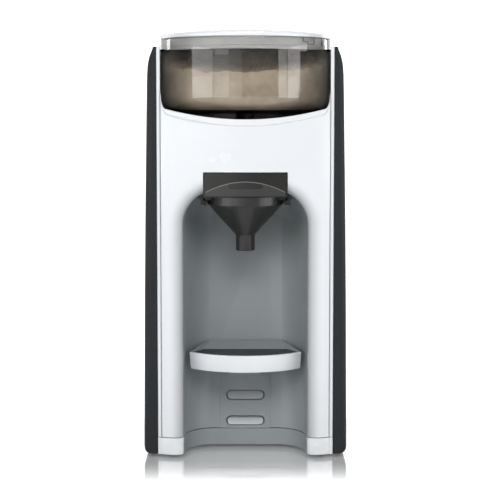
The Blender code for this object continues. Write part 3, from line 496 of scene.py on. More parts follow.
WHITE = moulded("white_gloss_plastic", (0.60, 0.62, 0.64), 0.24, tone=0.015)
PANEL_WHITE_PAINTED_SHADE = arch_painted_shade_white()
LID_WHITE = moulded("lid_plastic", (0.62, 0.64, 0.66), 0.3, tone=0.015)
GREY = moulded("bay_grey_plastic", (0.215, 0.235, 0.243), 0.42, tone=0.04)
# painted light: the flaps are a lighter copy of the bay grey, added to the real top light that their slope
# catches
FLAP_PAINTED_LIGHT_GREY = moulded("slot_flap_plastic", (0.42, 0.44, 0.45), 0.4, tone=0.05)
CHARCOAL = moulded("charcoal_plastic", (0.012, 0.014, 0.016), 0.5, tone=0.1, Specular_IOR_Level=0.2)
BLACK = moulded("black_plastic", (0.008, 0.009, 0.010), 0.4, tone=0.1, Specular_IOR_Level=0.35)
PAD = moulded("pad_rubber", (0.025, 0.028, 0.031), 0.6, tone=0.1, grain=500.0, depth=0.0001)
SMOKY = moulded("smoky_plastic", (0.015, 0.015, 0.0145), 0.25, tone=0.08, Specular_IOR_Level=0.35)
# dark smoky plastic of the funnel rim, also used for the painted shadow of the chute on the shield
SMOKY_RIM_AND_CHUTE_SHADOW = moulded("smoky_rim_and_painted_chute_shadow", (0.016, 0.016, 0.0155), 0.25, tone=0.08)
OLIVE = moulded("smoky_inner_plastic", (0.030, 0.031, 0.029), 0.35, tone=0.08, Specular_IOR_Level=0.35)
ARCH_LINE = moulded("smoky_edge_line", (0.14, 0.138, 0.125), 0.35, tone=0.08)
CLEAR = clear_plastic("smoky_clear_plastic", (0.66, 0.65, 0.63))
TANK_CLEAR = clear_plastic("tank_clear_plastic", (0.82, 0.85, 0.87), 0.05)
RUBBER = moulded("foot_rubber", (0.02, 0.02, 0.021), 0.75, tone=0.12, grain=400.0, depth=0.0001)
STEEL = metal("steel", (0.58, 0.58, 0.59), 0.32, (1, 1, 12))
ALUMINIUM = metal("aluminium", (0.72, 0.72, 0.74), 0.38, (1, 1, 6))
ACETAL = moulded("natural_acetal", (0.78, 0.77, 0.72), 0.4, tone=0.03)
DISPLAY = moulded("display_window", (0.010, 0.013, 0.016), 0.07, tone=0.1, grain=200.0, depth=0.000005)
KEY = moulded("key_plastic", (0.30, 0.31, 0.33), 0.35, tone=0.04)
SYMBOL = moulded("symbol_print", (0.80, 0.82, 0.84), 0.45, tone=0.03)
DIGIT = moulded("display_digits", (0.55, 0.85, 0.95), 0.4, tone=0.05, Emission_Color=(0.55, 0.85, 0.95, 1.0),
                Emission_Strength=0.6)
SILICONE = moulded("silicone", (0.72, 0.73, 0.71), 0.35, tone=0.03, Subsurface_Weight=0.2)
ORANGE = moulded("float_plastic", (0.80, 0.28, 0.04), 0.4, tone=0.05)
BOARD = board_material()
POWDER = powder_material()


# -------- shapes of the casing
def front_y(x):
    """Front face of the crowned panel."""
    return FRONT_CENTRE_Y - math.sqrt(FRONT_RADIUS ** 2 - x * x)


def edge_sink(distance):
    """How far the soft edge round the arch falls back from the panel."""
    if distance >= EDGE_WIDTH:
        return 0.0
    turn = 1 - distance / EDGE_WIDTH
    return EDGE_SINK * (1 - math.sqrt(max(0.0, 1 - turn * turn)))


def lip_z(x):
    """Upper edge of the front panel: lowest in the middle, with a horn at each end."""
    x = abs(x)
    if x <= HORN_START:
        return LIP_MIDDLE + LIP_RISE * (x / HORN_START) ** 2
    turn = min((x - HORN_START) / (PANEL_HALF - HORN_START), 1.0)
    return LIP_MIDDLE + LIP_RISE + HORN_RISE * (1 - math.sqrt(1 - turn * turn))


def arch_path(half, spring, radius, bottom, side_steps, arc_steps, top_steps):
    """(x, z, outward x, outward z) round an arch, from its left foot to its right foot."""
    points = []
    for index in range(side_steps):
        points.append((-half, bottom + (spring - bottom) * index / side_steps, -1.0, 0.0))
    for x, z in arc(half - radius, spring, radius, 0, 90, arc_steps):
        points.append((-x, z, -(x - half + radius) / radius, (z - spring) / radius))
    flat = half - radius
    for index in range(1, top_steps // 2 + 1):
        points.append((-flat + flat * 2 * index / top_steps, spring + radius, 0.0, 1.0))
    mirrored = [(-x, z, -nx, nz) for x, z, nx, nz in reversed(points[:-1])]
    return points + mirrored


def panel_rim(count):
    """(x, z) points along the outer edge of the front panel that match arch_path."""
    side_steps, arc_steps, _ = ARCH_STEPS
    bottom = CASE_BOTTOM + SEAM
    points = []
    for index in range(side_steps):
        points.append((-PANEL_HALF, bottom + (ARCH_SPRING - bottom) * index / side_steps))
    rise = arc_steps // 4
    for index in range(rise):
        points.append((-PANEL_HALF, ARCH_SPRING + (lip_z(PANEL_HALF) - ARCH_SPRING) * index / rise))
    horn = arc_steps // 2
    for index in range(horn):
        x = HORN_START + (PANEL_HALF - HORN_START) * math.cos(math.pi / 2 * index / horn)
        points.append((-x, lip_z(x)))
    left = count // 2 - len(points)
    for index in range(left + 1):
        x = HORN_START * (1 - index / left)
        points.append((-x, lip_z(x)))
    mirrored = [(-x, z) for x, z in reversed(points[:-1])]
    return points + mirrored


def rim_drop(distance):
    """Small rounding where the panel meets its outer edge."""
    radius = 1.2
    if distance >= radius:
        return 0.0
    turn = 1 - distance / radius
    return radius * (1 - math.sqrt(max(0.0, 1 - turn * turn)))


def crease(z, distance):
    """Depth of the fine line that follows the lip."""
    if z < 250.0:
        return 0.0
    fade = min(1.0, (z - 250.0) / 8.0)
    return 0.8 * fade * math.exp(-((distance - 5.4) / 0.5) ** 2)


def front_panel():
    path = arch_path(ARCH_HALF, ARCH_SPRING, ARCH_RADIUS, CASE_BOTTOM + SEAM, *ARCH_STEPS)
    rim = panel_rim(len(path))
    outer = []
    for distance in EDGE_STEPS:
        row = []
        for x, z, out_x, out_z in path:
            px = x + distance * out_x
            row.append((px, front_y(px) + edge_sink(distance), z + distance * out_z))
        outer.append(row)
    ring = [(x, z) for x, _, z in outer[-1]]
    for share in (0.12, 0.25, 0.4, 0.55, 0.7):
        row = []
        for (px, pz), (rx, rz) in zip(ring, rim):
            x = px + (rx - px) * share
            row.append((x, front_y(x), pz + (rz - pz) * share))
        outer.append(row)
    base_x = [(px + (rx - px) * 0.8, pz + (rz - pz) * 0.8) for (px, pz), (rx, rz) in zip(ring, rim)]
    for reach in (7.5, 6.5, 6.1, 5.8, 5.4, 5.0, 4.7, 4.3, 3.0, 1.8, 1.2, 0.8, 0.45, 0.2, 0.05, 0.0):
        row = []
        for (bx, bz), (rx, rz) in zip(base_x, rim):
            away = Vector((bx - rx, bz - rz))
            length = away.length
            step = min(reach, length * (0.4 + 0.6 * reach / 7.5))
            spot = Vector((rx, rz)) + away * (step / max(length, 0.001))
            depth = rim_drop(reach) + crease(spot.y, reach)
            row.append((spot.x, front_y(spot.x) + depth, spot.y))
        outer.append(row)
    inner = []
    for row in reversed(outer):
        inner.append([(x, y + WALL - 0.3, z) for x, y, z in row])
    bm = loft(outer + inner + outer[:1], closed_rows=False, caps=False)
    bmesh.ops.remove_doubles(bm, verts=bm.verts[:], dist=0.001)
    bmesh.ops.holes_fill(bm, edges=bm.edges[:], sides=0)
    made = finish_mesh("front_panel", bm, PANEL_WHITE_PAINTED_SHADE, "machine", ("front_housing",), 60.0)
    half = SHIELD_HIGH.x + GAP
    cut(made, prism(rounded_box(-half, half, 200.0, SHIELD_HIGH.z + GAP, 0.8, 3), -150, -124, "Y"))


def bay_wall_y(z):
    return RAIL_Y + BAY_DEPTH + BAY_LEAN * (z - CASE_BOTTOM)


def bay_point(front, back, share):
    """A point of the bay surface between the arch (share 0) and the back wall (share 1)."""
    x, z = front[:2]
    back_x, back_z = back[:2]
    start_y = front_y(x) + EDGE_SINK + WALL - 0.1
    end_y = bay_wall_y(back_z)
    middle = (x * 0.91 + back_x * 0.09, z * 0.93 + back_z * 0.07)
    middle_y = start_y + 0.8 * (end_y - start_y)
    early = (1 - share) ** 2
    mixed = 2 * share * (1 - share)
    late = share ** 2
    return Vector((early * x + mixed * middle[0] + late * back_x,
                   early * start_y + mixed * middle_y + late * end_y,
                   early * z + mixed * middle[1] + late * back_z))


def bay_surface():
    bottom = CASE_BOTTOM + SEAM
    front = arch_path(ARCH_HALF, ARCH_SPRING, ARCH_RADIUS, bottom, 20, 20, 8)
    back = arch_path(BAY_BACK_HALF, BAY_BACK_SPRING, BAY_BACK_RADIUS, bottom, 20, 20, 8)
    shares = [(index / 20) ** 0.85 for index in range(21)]
    rows = [[bay_point(f, b, share) for f, b in zip(front, back)] for share in shares]
    bm = loft(rows, closed_rows=False, caps=False)
    bm.verts.ensure_lookup_table()
    count = len(front)
    bm.faces.new(bm.verts[len(bm.verts) - count:])
    made = finish_mesh("bay_shell", bm, GREY, "machine", ("bay_liner",), 32.0)
    thicken(made, 1.8, 1.0)
    half = PLATE_HIGH.x + 0.1
    cut(made, prism(rounded_box(-half, half, CASE_BOTTOM - 5.0, PLATE_HIGH.z + GAP, 1.2, 3), -104, -70, "Y"))
    cut(made, prism(rounded_box(-35.5, 35.5, 190.0, 222.0, 1.0, 2), -140, -82.7, "Y"))


def plate_with_slots():
    """Slotted block in the bay wall, with rounded slot mouths."""
    front = [(bay_wall_y(z) - SLOT_SINK, z) for z in (CASE_BOTTOM, PLATE_HIGH.z)]
    back = [(bay_wall_y(z) + 14.5, z) for z in (PLATE_HIGH.z, CASE_BOTTOM)]
    outline = soft_corner(front + back, 0.3, 2)
    made = finish_mesh("slot_block", prism(outline, -PLATE_HIGH.x, PLATE_HIGH.x, "X"), GREY, "machine",
                       ("slot_plate",), 40.0)
    for level in SLOT_LEVELS:
        mouth = bay_wall_y(level) - SLOT_SINK
        rows = []
        for depth, grow in ((-6.0, 0.7), (-0.9, 0.7), (0.0, 0.55), (0.35, 0.2), (0.7, 0.0), (12.6, -0.3)):
            half, rise = SLOT_HALF + grow, SLOT_TALL / 2 + grow
            pill = rounded_box(-half, half, level - rise, level + rise, rise - 0.05, 10)
            rows.append([(u, mouth + depth + BAY_LEAN * (v - level), v) for u, v in pill])
        cut(made, loft(rows))
    for number, level in enumerate(SLOT_LEVELS[:2]):
        slot_flap("slot_flap_%d" % (number + 1), level)


def slot_flap(name, level):
    """Sloping flap that closes a free slot, set back at its top edge."""
    mouth = bay_wall_y(level)
    rows = []
    for share in (0.0, 0.06, 0.15, 0.3, 0.5, 0.7, 0.85, 0.95, 1.0):
        rise = FLAP_TALL * (share - 0.5)
        z = level - FLAP_DROP + rise
        reach = FLAP_HALF - FLAP_TALL / 2 + math.sqrt(max(0.02, (FLAP_TALL / 2) ** 2 - rise ** 2))
        depth = 0.5 + 3.1 * share ** 1.4
        row = []
        for index in range(13):
            x = reach * (index / 6 - 1)
            bowl = 0.9 * (1 - (x / FLAP_HALF) ** 2) * (1 - share)
            row.append((x, mouth + BAY_LEAN * (z - level) + depth - bowl + 0.9, z))
        rows.append(row)
    rear = [[(x, mouth + 6.0, z) for x, _, z in row] for row in rows]
    bm = loft([front + list(reversed(back)) for front, back in zip(rows, rear)])
    # the flap takes the lighter grey, painted light on the slot
    finish_mesh(name, bm, FLAP_PAINTED_LIGHT_GREY, "machine", (), 50.0)


def panel_section():
    """Plan curve of one white column, from the bay edge out to the panel's outer edge, at +X."""
    points = []
    for distance in EDGE_STEPS + (14.5,):
        x = ARCH_HALF + distance
        points.append((x, front_y(x) + edge_sink(distance)))
    return points + [(PANEL_HALF, front_y(PANEL_HALF))]


def bay_plan(share_steps, spread):
    """Plan curve round the bay at floor level from the left edge to the right edge."""
    start = (-ARCH_HALF, CASE_BOTTOM)
    end = (-BAY_BACK_HALF, CASE_BOTTOM)
    points = []
    for index in range(share_steps + 1):
        spot = bay_point(start, end, (index / share_steps) ** 0.85)
        points.append((spot.x - spread, spot.y + spread))
    return points + [(-x, y) for x, y in reversed(points)]


def rear_corners(half, back, radius=30.0, steps=20):
    right = arc(half - radius, back - radius, radius, 0, 90, steps)
    left = arc(radius - half, back - radius, radius, 90, 180, steps)
    return right + left


def base_shell():
    edge_y = front_y(66.2)
    rail = [(66.6, edge_y + 0.5), (67.0, edge_y + 0.15), (68.9, edge_y + 0.15), (RAIL_OUT, edge_y + 0.7)]
    side = [(RAIL_OUT, -128.0), (FRAME_OUT, -128.0), (FRAME_OUT, CASE_BACK), (RAIL_OUT, CASE_BACK)]
    right = panel_section() + rail + side
    left = [(-x, y) for x, y in reversed(right)]
    trim_back = bay_plan(20, 2.0)
    recess = [(-50.9, trim_back[0][1] - 2.0)] + trim_back[1:-1] + [(50.9, trim_back[0][1] - 2.0)]
    outline = recess + right + rear_corners(RAIL_OUT, BASE_HIGH.y) + left
    low, high = BASE_LOW.z, BASE_HIGH.z
    fixed = len(recess)

    def row(z, inset):
        ring = []
        count = len(outline)
        for index, point in enumerate(outline):
            here = Vector(point)
            if index <= fixed or index == count - 1:
                ring.append((*here, z))
                continue
            along = Vector(outline[(index + 1) % count]) - Vector(outline[index - 1])
            normal = Vector((along.y, -along.x)).normalized()
            ring.append((*(here - normal * inset), z))
        return ring

    levels = ((low, 0.18), (low + 0.1, 0.06), (low + 0.3, 0.0), (high - 0.3, 0.0), (high, 0.15))
    shell = loft([row(z, inset) for z, inset in levels])
    made = finish_mesh("base_shell", shell, WHITE, "machine", ("base_tray",), 40.0)
    pocket = [(-66.8, -70.0), (66.8, -70.0)] + rear_corners(66.8, BASE_HIGH.y - WALL, 27.5)
    cut(made, prism(pocket, low + WALL, high + 2))
    for x in (50, -50):
        for y in (-40, 55):
            cut(made, prism(circle(x, y, 3.3, 32), low - 1, low + WALL + 1))


def base_trim():
    wall = 1.7
    inner = bay_plan(20, 0.0)
    outer = bay_plan(20, wall)
    (left_x, left_y), (right_x, right_y) = inner[0], inner[-1]
    ring = inner + [(right_x + wall, right_y)] + list(reversed(outer[1:-1])) + [(left_x - wall, left_y)]
    low, high = limits("base_bay_trim")
    finish_mesh("base_bay_wall", prism(ring, low.z, high.z), GREY, "machine", ("base_bay_trim",),
                40.0, 0.35)


def side_rail(side):
    name = "right_side_frame" if side > 0 else "left_side_frame"
    outline = [(RAIL_IN, RAIL_Y), (RAIL_OUT, RAIL_Y), (RAIL_OUT, -128.0), (FRAME_OUT, -128.0),
               (FRAME_OUT, CASE_BACK), (70.3, CASE_BACK), (70.3, -125.5), (RAIL_IN, -125.5)]
    radii = [1.3, 1.3, 0.1, 0.3, 0.4, 0.4, 0.8, 0.8]
    ring = [(side * x, y) for x, y in soft_corner(outline, radii, 6)]
    finish_mesh(name.replace("frame", "rail"), prism(ring, FRAME_LOW.z, FRAME_HIGH.z), WHITE, "machine",
                (name,), 35.0, 0.5, 3)


def side_cover(side):
    name = "right_side_cover" if side > 0 else "left_side_cover"
    low, high = RAIL_Y, CASE_BACK + GAP
    edge = 0.6
    rows = []
    for z, half in COVER_PROFILE:
        radius = min(5.0, (half - COVER_INNER) * 0.8)
        outline = arc(COVER_INNER + edge, low + edge, edge, 180, 270, 4)
        outline += arc(half - radius, low + radius, radius, -90, 0, 12)
        outline += arc(half - radius, high - radius, radius, 0, 90, 12)
        outline += arc(COVER_INNER + edge, high - edge, edge, 90, 180, 4)
        rows.append([(side * x, y, z) for x, y in outline])
    bm = loft(rows, closed_rows=False, caps=True)
    made = finish_mesh(name + "_shell", bm, CHARCOAL, "machine", (name,), 50.0)
    thicken(made, 1.6, -1.0)
    smooth(made, 50)
    return made


def floor_material():
    """White matt floor with a polished patch in front of the object."""
    nodes = Nodes("floor_white", (0.93, 0.935, 0.94), 0.6, Specular_IOR_Level=0.0)
    nodes.set("Emission Color", (1.0, 1.0, 1.0, 1.0))
    spot = nodes.split_position()
    front = nodes.remap(spot["Y"], (-0.255, -0.14), interpolation="SMOOTHSTEP")
    rear = nodes.remap(spot["Y"], (0.05, -0.05), interpolation="SMOOTHSTEP")
    left = nodes.remap(spot["X"], (-0.15, -0.11), interpolation="SMOOTHSTEP")
    right = nodes.remap(spot["X"], (0.15, 0.11), interpolation="SMOOTHSTEP")
    patch = nodes.math("MULTIPLY", nodes.math("MULTIPLY", front, rear), nodes.math("MULTIPLY", left, right))
    glow = nodes.remap(nodes.light_path("Is Camera Ray"), (0.0, 1.0), (FLOOR_LIGHT, FLOOR_GLOW))
    matt = nodes.remap(patch, (0.0, 1.0), (1.0, PATCH_GLOW))
    nodes.drive("Emission Strength", nodes.math("MULTIPLY", glow, matt))
    polish = nodes.tree.nodes.new("ShaderNodeBsdfGlossy")
    polish.inputs["Roughness"].default_value = 0.04
    nodes.mix_in(nodes.math("MULTIPLY", patch, PATCH_POLISH), polish)
    return nodes.material


def backdrop_material():
    nodes = Nodes("backdrop_white", (0.9, 0.9, 0.9), 0.8, Specular_IOR_Level=0.0)
    nodes.set("Emission Color", (1.0, 1.0, 1.0, 1.0))
    nodes.set("Emission Strength", 1.0)
    return nodes.material


def stage_sheet(name, spots, mat):
    """Flat sheet of the studio, which isn't part of the object."""
    bm = bmesh.new()
    bm.faces.new([bm.verts.new(spot) for spot in spots])
    made = as_object(name, bm)
    made.data.materials.append(mat)


def stage():
    """Floor, and a bright wall far behind the object."""
    size = 6000.0
    floor = ((-size, -size, 0), (size, -size, 0), (size, size, 0), (-size, size, 0))
    stage_sheet("floor", floor, floor_material())
    half, distance, low, high = 4000.0, 3200.0, -10.0, 3000.0
    wall = ((-half, distance, low), (half, distance, low), (half, distance, high), (-half, distance, high))
    stage_sheet("backdrop", wall, backdrop_material())


def camera():
    data = bpy.data.cameras.new("camera")
    data.sensor_width = 36.0
    data.lens = CAMERA_LENS
    data.clip_end = 50.0
    made = bpy.data.objects.new("camera", data)
    made.location = CAMERA_AT
    made.rotation_euler = (math.radians(CAMERA_TILT), 0.0, 0.0)
    bpy.context.scene.collection.objects.link(made)
    bpy.context.scene.camera = made


def area_light(name, at, aim, size, power):
    data = bpy.data.lights.new(name, "AREA")
    data.shape = "RECTANGLE"
    data.size, data.size_y = size
    data.energy = power
    made = bpy.data.objects.new(name, data)
    made.location = at
    made.rotation_euler = (Vector(aim) - Vector(at)).to_track_quat("-Z", "Y").to_euler()
    bpy.context.scene.collection.objects.link(made)


def studio_world():
    """White for the camera, and a weak even light for everything else."""
    world = bpy.data.worlds.new("studio")
    world.use_nodes = True
    tree = world.node_tree
    background = tree.nodes["Background"]
    background.inputs["Color"].default_value = (1.0, 1.0, 1.0, 1.0)
    background.inputs["Strength"].default_value = WORLD_GLOW
    bright = tree.nodes.new("ShaderNodeBackground")
    bright.inputs["Color"].default_value = (1.0, 1.0, 1.0, 1.0)
    bright.inputs["Strength"].default_value = 1.0
    path = tree.nodes.new("ShaderNodeLightPath")
    mix = tree.nodes.new("ShaderNodeMixShader")
    output = next(n for n in tree.nodes if n.type == "OUTPUT_WORLD")
    tree.links.new(path.outputs["Is Camera Ray"], mix.inputs["Fac"])
    tree.links.new(background.outputs["Background"], mix.inputs[1])
    tree.links.new(bright.outputs["Background"], mix.inputs[2])
    tree.links.new(mix.outputs["Shader"], output.inputs["Surface"])
    bpy.context.scene.world = world


def lights():
    for name, azimuth, width, height, glow in SOFTBOXES:
        turn = math.radians(azimuth)
        at = (LIGHT_DISTANCE * math.sin(turn), -LIGHT_DISTANCE * math.cos(turn), SOFTBOX_HEIGHT)
        power = glow * math.pi * width * height
        area_light(name, at, (0, 0, 0.24), (width, height), power)
    area_light("front_panel_light", (0.0, -1.5, 1.25), (0, -0.1, 0.15), (1.4, 0.7), FRONT_POWER)
    area_light("top_panel_light", (0.0, -0.2, 1.6), (0, -0.05, 0.2), (1.0, 0.8), TOP_POWER)
    bpy.context.scene.view_settings.view_transform = "Standard"
    bpy.context.scene.view_settings.look = "None"


# -------- powder container
def container_shell():
    low, high = CAN_LOW.z, CAN_HIGH.z
    centre = CAN_RADIUS - CAN_FILLET
    outside = arc(centre, low + CAN_FILLET, CAN_FILLET, -90, 0, 14)
    inside = arc(centre, low + CAN_FILLET, CAN_FILLET - CAN_WALL, 0, -90, 14)
    rim = arc(CAN_RADIUS - CAN_WALL / 2, high - CAN_WALL / 2, CAN_WALL / 2, 0, 180, 8)
    profile = [(7.0, low)] + outside + rim + inside + [(7.0, low + CAN_WALL)]
    made = finish_mesh("container_shell", turned(profile, (0, AXIS_Y), 192), CLEAR, "powder_container_body",
                       ("powder_container",), 50.0)
    cut(made, prism(circle(0, OUTLET_Y, 7.0, 32), low - 3, low + 5))


def lumps(x, y):
    """Uneven height of the powder, waves of different length that never line up."""
    return (1.3 * math.sin(0.071 * x + 1.3) * math.cos(0.083 * y + 0.4)
            + 0.8 * math.sin(0.19 * x - 0.11 * y + 2.0)
            + 0.55 * math.sin(0.47 * x + 0.39 * y) * math.sin(0.33 * y - 0.21 * x + 0.7)
            + 0.45 * math.sin(1.13 * x + 0.57 * y + 1.0) * math.cos(0.91 * y - 0.73 * x)
            + 0.22 * math.sin(2.3 * x - 1.7 * y) * math.sin(1.9 * x + 2.1 * y + 0.5))


def powder_height(x, y):
    """Top of the powder: low at the front wall, banked up behind the axis, dished below the lid tab."""
    back = min(max((y - CAN_LOW.y - 2.5) / 95.0, 0.0), 1.0)
    bank = 14.0 * back * back * (3 - 2 * back)
    dish = -3.5 * math.exp(-((x + 19.5) / 11.0) ** 2 - ((y - AXIS_Y) / 14.0) ** 2)
    return 304.6 + bank + 0.018 * x + dish + lumps(x, y)


def powder_fill():
    """The milk powder: a heaped top, sides against the wall, hollow round the stirring wheel."""
    inner = CAN_INSIDE - 0.25
    floor = CAN_LOW.z + CAN_WALL + 0.2
    fillet = CAN_FILLET - CAN_WALL
    steps = 320
    rings = []
    side = [(12.0, 300.8), (46.5, 299.8), (46.5, 288.0), (56.0, 284.0), (56.0, floor)]
    side += arc(inner - fillet, floor + fillet, fillet, -90, 0, 8)
    for radius, height in side:
        rings.append([(x, y, height) for x, y in circle(0, AXIS_Y, radius, steps)])
    top_edge = [(x, y, powder_height(x, y)) for x, y in circle(0, AXIS_Y, inner, steps)]
    for share in (0.35, 0.7, 0.98):
        rings.append([(x, y, (floor + fillet) * (1 - share) + z * share) for x, y, z in top_edge])
    for index in range(60):
        radius = (inner - 0.4) * (1 - index / 60)
        rings.append([(x, y, powder_height(x, y)) for x, y in circle(0, AXIS_Y, radius, steps)])
    finish_mesh("powder_fill", loft(rings), POWDER, "powder_container_body", (), 80.0)


def lid_dome():
    """White lid: shallow dome, rolled rim, and the skirt that plugs into the container."""
    low, high = CAN_HIGH.z + 0.3, LID_HIGH.z
    inner = CAN_INSIDE
    edge = [(CAN_RADIUS - 0.5, low), (CAN_RADIUS - 0.1, low + 0.3), (CAN_RADIUS, low + 0.9)]
    rim_top = low + 3.4
    dome = [(CAN_RADIUS, rim_top - 0.9), (CAN_RADIUS - 0.35, rim_top - 0.25), (CAN_RADIUS - 1.1, rim_top)]
    for index in range(1, 17):
        share = index / 16
        radius = (CAN_RADIUS - 1.1) * (1 - share)
        dome.append((radius, rim_top + (high - rim_top) * (1 - (1 - share) ** 2.4)))
    dome[-1] = (0, high)
    skirt_low = low - 10.0
    skirt = [(0, high - 2.2), (inner - 14, low + 1.6), (inner - 3.4, low + 0.4),
             (inner - 3.2, skirt_low + 0.4), (inner - 2.8, skirt_low), (inner - 0.9, skirt_low),
             (inner - 0.5, skirt_low + 0.4),
             (inner - 0.5, skirt_low + 2.0), (inner - 0.9, skirt_low + 2.3), (inner - 0.9, skirt_low + 2.9),
             (inner - 0.5, skirt_low + 3.2), (inner - 0.5, low - 0.1)]
    profile = edge + dome + skirt
    finish_mesh("lid_shell", turned(profile, (0, AXIS_Y), 192), LID_WHITE, "lid_body", ("container_lid",),
                38.0)
    lining = [(inner - 3.5, skirt_low + 0.5), (inner - 3.2, skirt_low - 0.1), (inner - 1.2, skirt_low - 0.1),
              (inner - 3.0, skirt_low + 0.2), (inner - 3.3, low + 0.3), (inner - 14, low + 1.5),
              (inner - 14, low + 1.2)]
    finish_mesh("lid_lining", turned(lining, (0, AXIS_Y), 128), BLACK, "lid_body", (), 38.0)
    tab = prism(rounded_box(-25.0, -14.0, AXIS_Y - 1.2, AXIS_Y + 1.2, 0.9, 5), low - 16.0, low + 3.0)
    finish_mesh("lid_key_tab", tab, LID_WHITE, "lid_body", (), 40.0, 0.3)


def on_skirt(x_low, x_high, z_low, z_high, lift):
    """Curved bar on the lid's skirt, given in X and Z on its front side."""
    radius = CAN_INSIDE - 0.5
    columns = 8
    spots = [x_low + (x_high - x_low) * index / columns for index in range(columns + 1)]
    angles = [math.asin(x / radius) for x in spots]
    outer, inner = ([(r * math.sin(angle), AXIS_Y - r * math.cos(angle)) for angle in angles]
                    for r in (radius + lift, radius - 0.2))
    return prism(outer + list(reversed(inner)), z_low, z_high)


def lock_marks():
    """Raised bayonet marks on the skirt: a stepped slot outline and a short index bar."""
    bars = ((44.4, 53.4, 331.2, 331.6), (44.4, 48.5, 328.2, 328.6), (44.4, 44.85, 328.2, 331.6),
            (48.1, 48.5, 326.2, 328.4), (48.1, 53.4, 326.2, 326.6), (53.0, 53.4, 326.2, 331.6))
    for index, (x_low, x_high, z_low, z_high) in enumerate(bars):
        bar = on_skirt(x_low, x_high, z_low, z_high, 0.12)
        finish_mesh("lock_mark_%d" % (index + 1), bar, CHARCOAL, "lid_body", (), 40.0)
    finish_mesh("lock_index_bar", on_skirt(59.2, 59.9, 325.6, 331.6, 0.12), BLACK, "lid_body", (), 40.0)


def carried(name, mat, bevel=0.0):
    """Give a CAD node its finish: a procedural material and softened edges."""
    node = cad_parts[name]
    node.data.materials.clear()
    node.data.materials.append(mat)
    if bevel:
        add_bevel(node, bevel)


# -------- funnel
def funnel_cone():
    radius, spout = FUNNEL_RADIUS, SPOUT_RADIUS
    skin = 1.6
    low, top = FUNNEL_LOW.z, FUNNEL_HIGH.z
    centre = (0, FUNNEL_Y)
    outside = [(spout, low + 0.3), (spout, top - 32.5), (spout + 0.25, top - 31.2), (spout + 0.8, top - 30.2)]
    outside += [(radius - 2.2, top - 8.6), (radius - 1.1, top - 7.2), (radius - 0.5, top - 6.2),
                (radius - 0.5, top - 0.5), (radius - 0.8, top)]
    inside = [(radius - skin, top), (radius - skin, top - 4.2), (radius - 2.6, top - 6.2),
              (radius - 3.4, top - 7.3), (spout - 0.6, top - 29.4), (spout - skin, top - 31.0),
              (spout - skin, low), (spout - 0.4, low)]
    finish_mesh("funnel_cone", turned(outside + inside, centre, 128), SMOKY, "funnel_body", ("funnel",),
                35.0)
    collar = [(radius, top - 6.3), (radius, top), (radius - 0.6, top), (radius - 0.6, top - 6.3)]
    finish_mesh("funnel_rim", turned(collar, centre, 128), SMOKY_RIM_AND_CHUTE_SHADOW, "funnel_body", (),
                35.0)
    wing = prism(rounded_box(-32.7, 32.7, FUNNEL_Y - 13.0, FUNNEL_Y + 24.0, 1.5, 4), top - 2.7, top - 0.5)
    wings = finish_mesh("funnel_wings", wing, BLACK, "funnel_body", (), 35.0)
    cut(wings, prism(circle(*centre, radius - 0.4, 128), top - 6, top + 6))
    tube = turned([(3.4, low), (4.6, low), (4.6, top - 33.0), (3.4, top - 33.0)], centre, 64)
    finish_mesh("spout_tube", tube, OLIVE, "funnel_body", (), 40.0)
    web = prism(rounded_box(3.9, 6.3, FUNNEL_Y - 0.6, FUNNEL_Y + 0.6, 0.3, 2), low + 1, top - 34)
    finish_mesh("spout_web", web, SMOKY, "funnel_body", (), 40.0)


def shield_strip(name, columns, mat, lift):
    """Thin curved plate on the shield: columns are (x, lowest z, highest z)."""
    rows = []
    for x, low, high in columns:
        y = front_y(x) + SHIELD_SINK
        rows.append([(x, y - lift, low), (x, y - lift, high), (x, y + 0.2, high), (x, y + 0.2, low)])
    finish_mesh(name, loft(rows), mat, "funnel_body", (), 35.0)


def shield():
    """Smoky front shield, its black edge, and the arched rim of the funnel that shows through it."""
    low, high = SHIELD_LOW.z, SHIELD_HIGH.z
    half = SHIELD_HIGH.x
    spots = [half * (2 * index / 40 - 1) for index in range(41)]
    rows = []
    for x in spots:
        y = front_y(x) + SHIELD_SINK
        rows.append([(x, y + 0.4, low), (x, y, low + 0.4), (x, y, high - 0.4), (x, y + 0.4, high),
                     (x, y + 1.6, high), (x, y + 1.6, low)])
    finish_mesh("shield_plate", loft(rows), SMOKY, "funnel_body", ("funnel_shield",), 35.0)
    apex, foot, floor = high - 7.4, low + 2.7, low + 1.0

    def arch(x):
        return foot + (apex - foot) * (1 - (x / half) ** 2)

    inner = [x for x in spots if abs(x) < half - 1.0]
    shield_strip("shield_low_band", [(x, floor, arch(x)) for x in inner], OLIVE, 0.06)
    shield_strip("shield_arch_line", [(x, arch(x), arch(x) + 0.5) for x in inner], ARCH_LINE, 0.12)
    # painted shadow of the chute: a dark lens-shaped strip laid on the shield below the arch line
    lens = [(x, max(arch(x) - 5.4 + 2.2 * (abs(x) / 13.0) ** 3, floor), arch(x) - 0.25)
            for x in (13.2 * (2 * index / 20 - 1) for index in range(21))]
    shield_strip("shield_chute_shadow", lens, SMOKY_RIM_AND_CHUTE_SHADOW, 0.1)
    edge = 0.75
    for name, side in (("left", -1), ("right", 1)):
        columns = [(side * (half - edge * share), low, high) for share in (0.0, 0.5, 1.0)]
        shield_strip("shield_edge_" + name, columns, BLACK, 0.18)
    shield_strip("shield_edge_top", [(x, high - edge, high) for x in inner], BLACK, 0.18)
    shield_strip("shield_edge_low", [(x, low, low + edge) for x in inner], BLACK, 0.18)


# -------- bottle stand
def stand_outline(inset, steps=64):
    """Front edge of the stand in plan, from its left to its right corner."""
    radius = (STAND_HALF ** 2 + STAND_SAGITTA ** 2) / (2 * STAND_SAGITTA)
    reach = math.degrees(math.asin(STAND_HALF / radius))
    centre_y = STAND_CORNER_Y - STAND_SAGITTA + radius
    return arc(0, centre_y, radius - inset, 270 - reach, 270 + reach, steps)


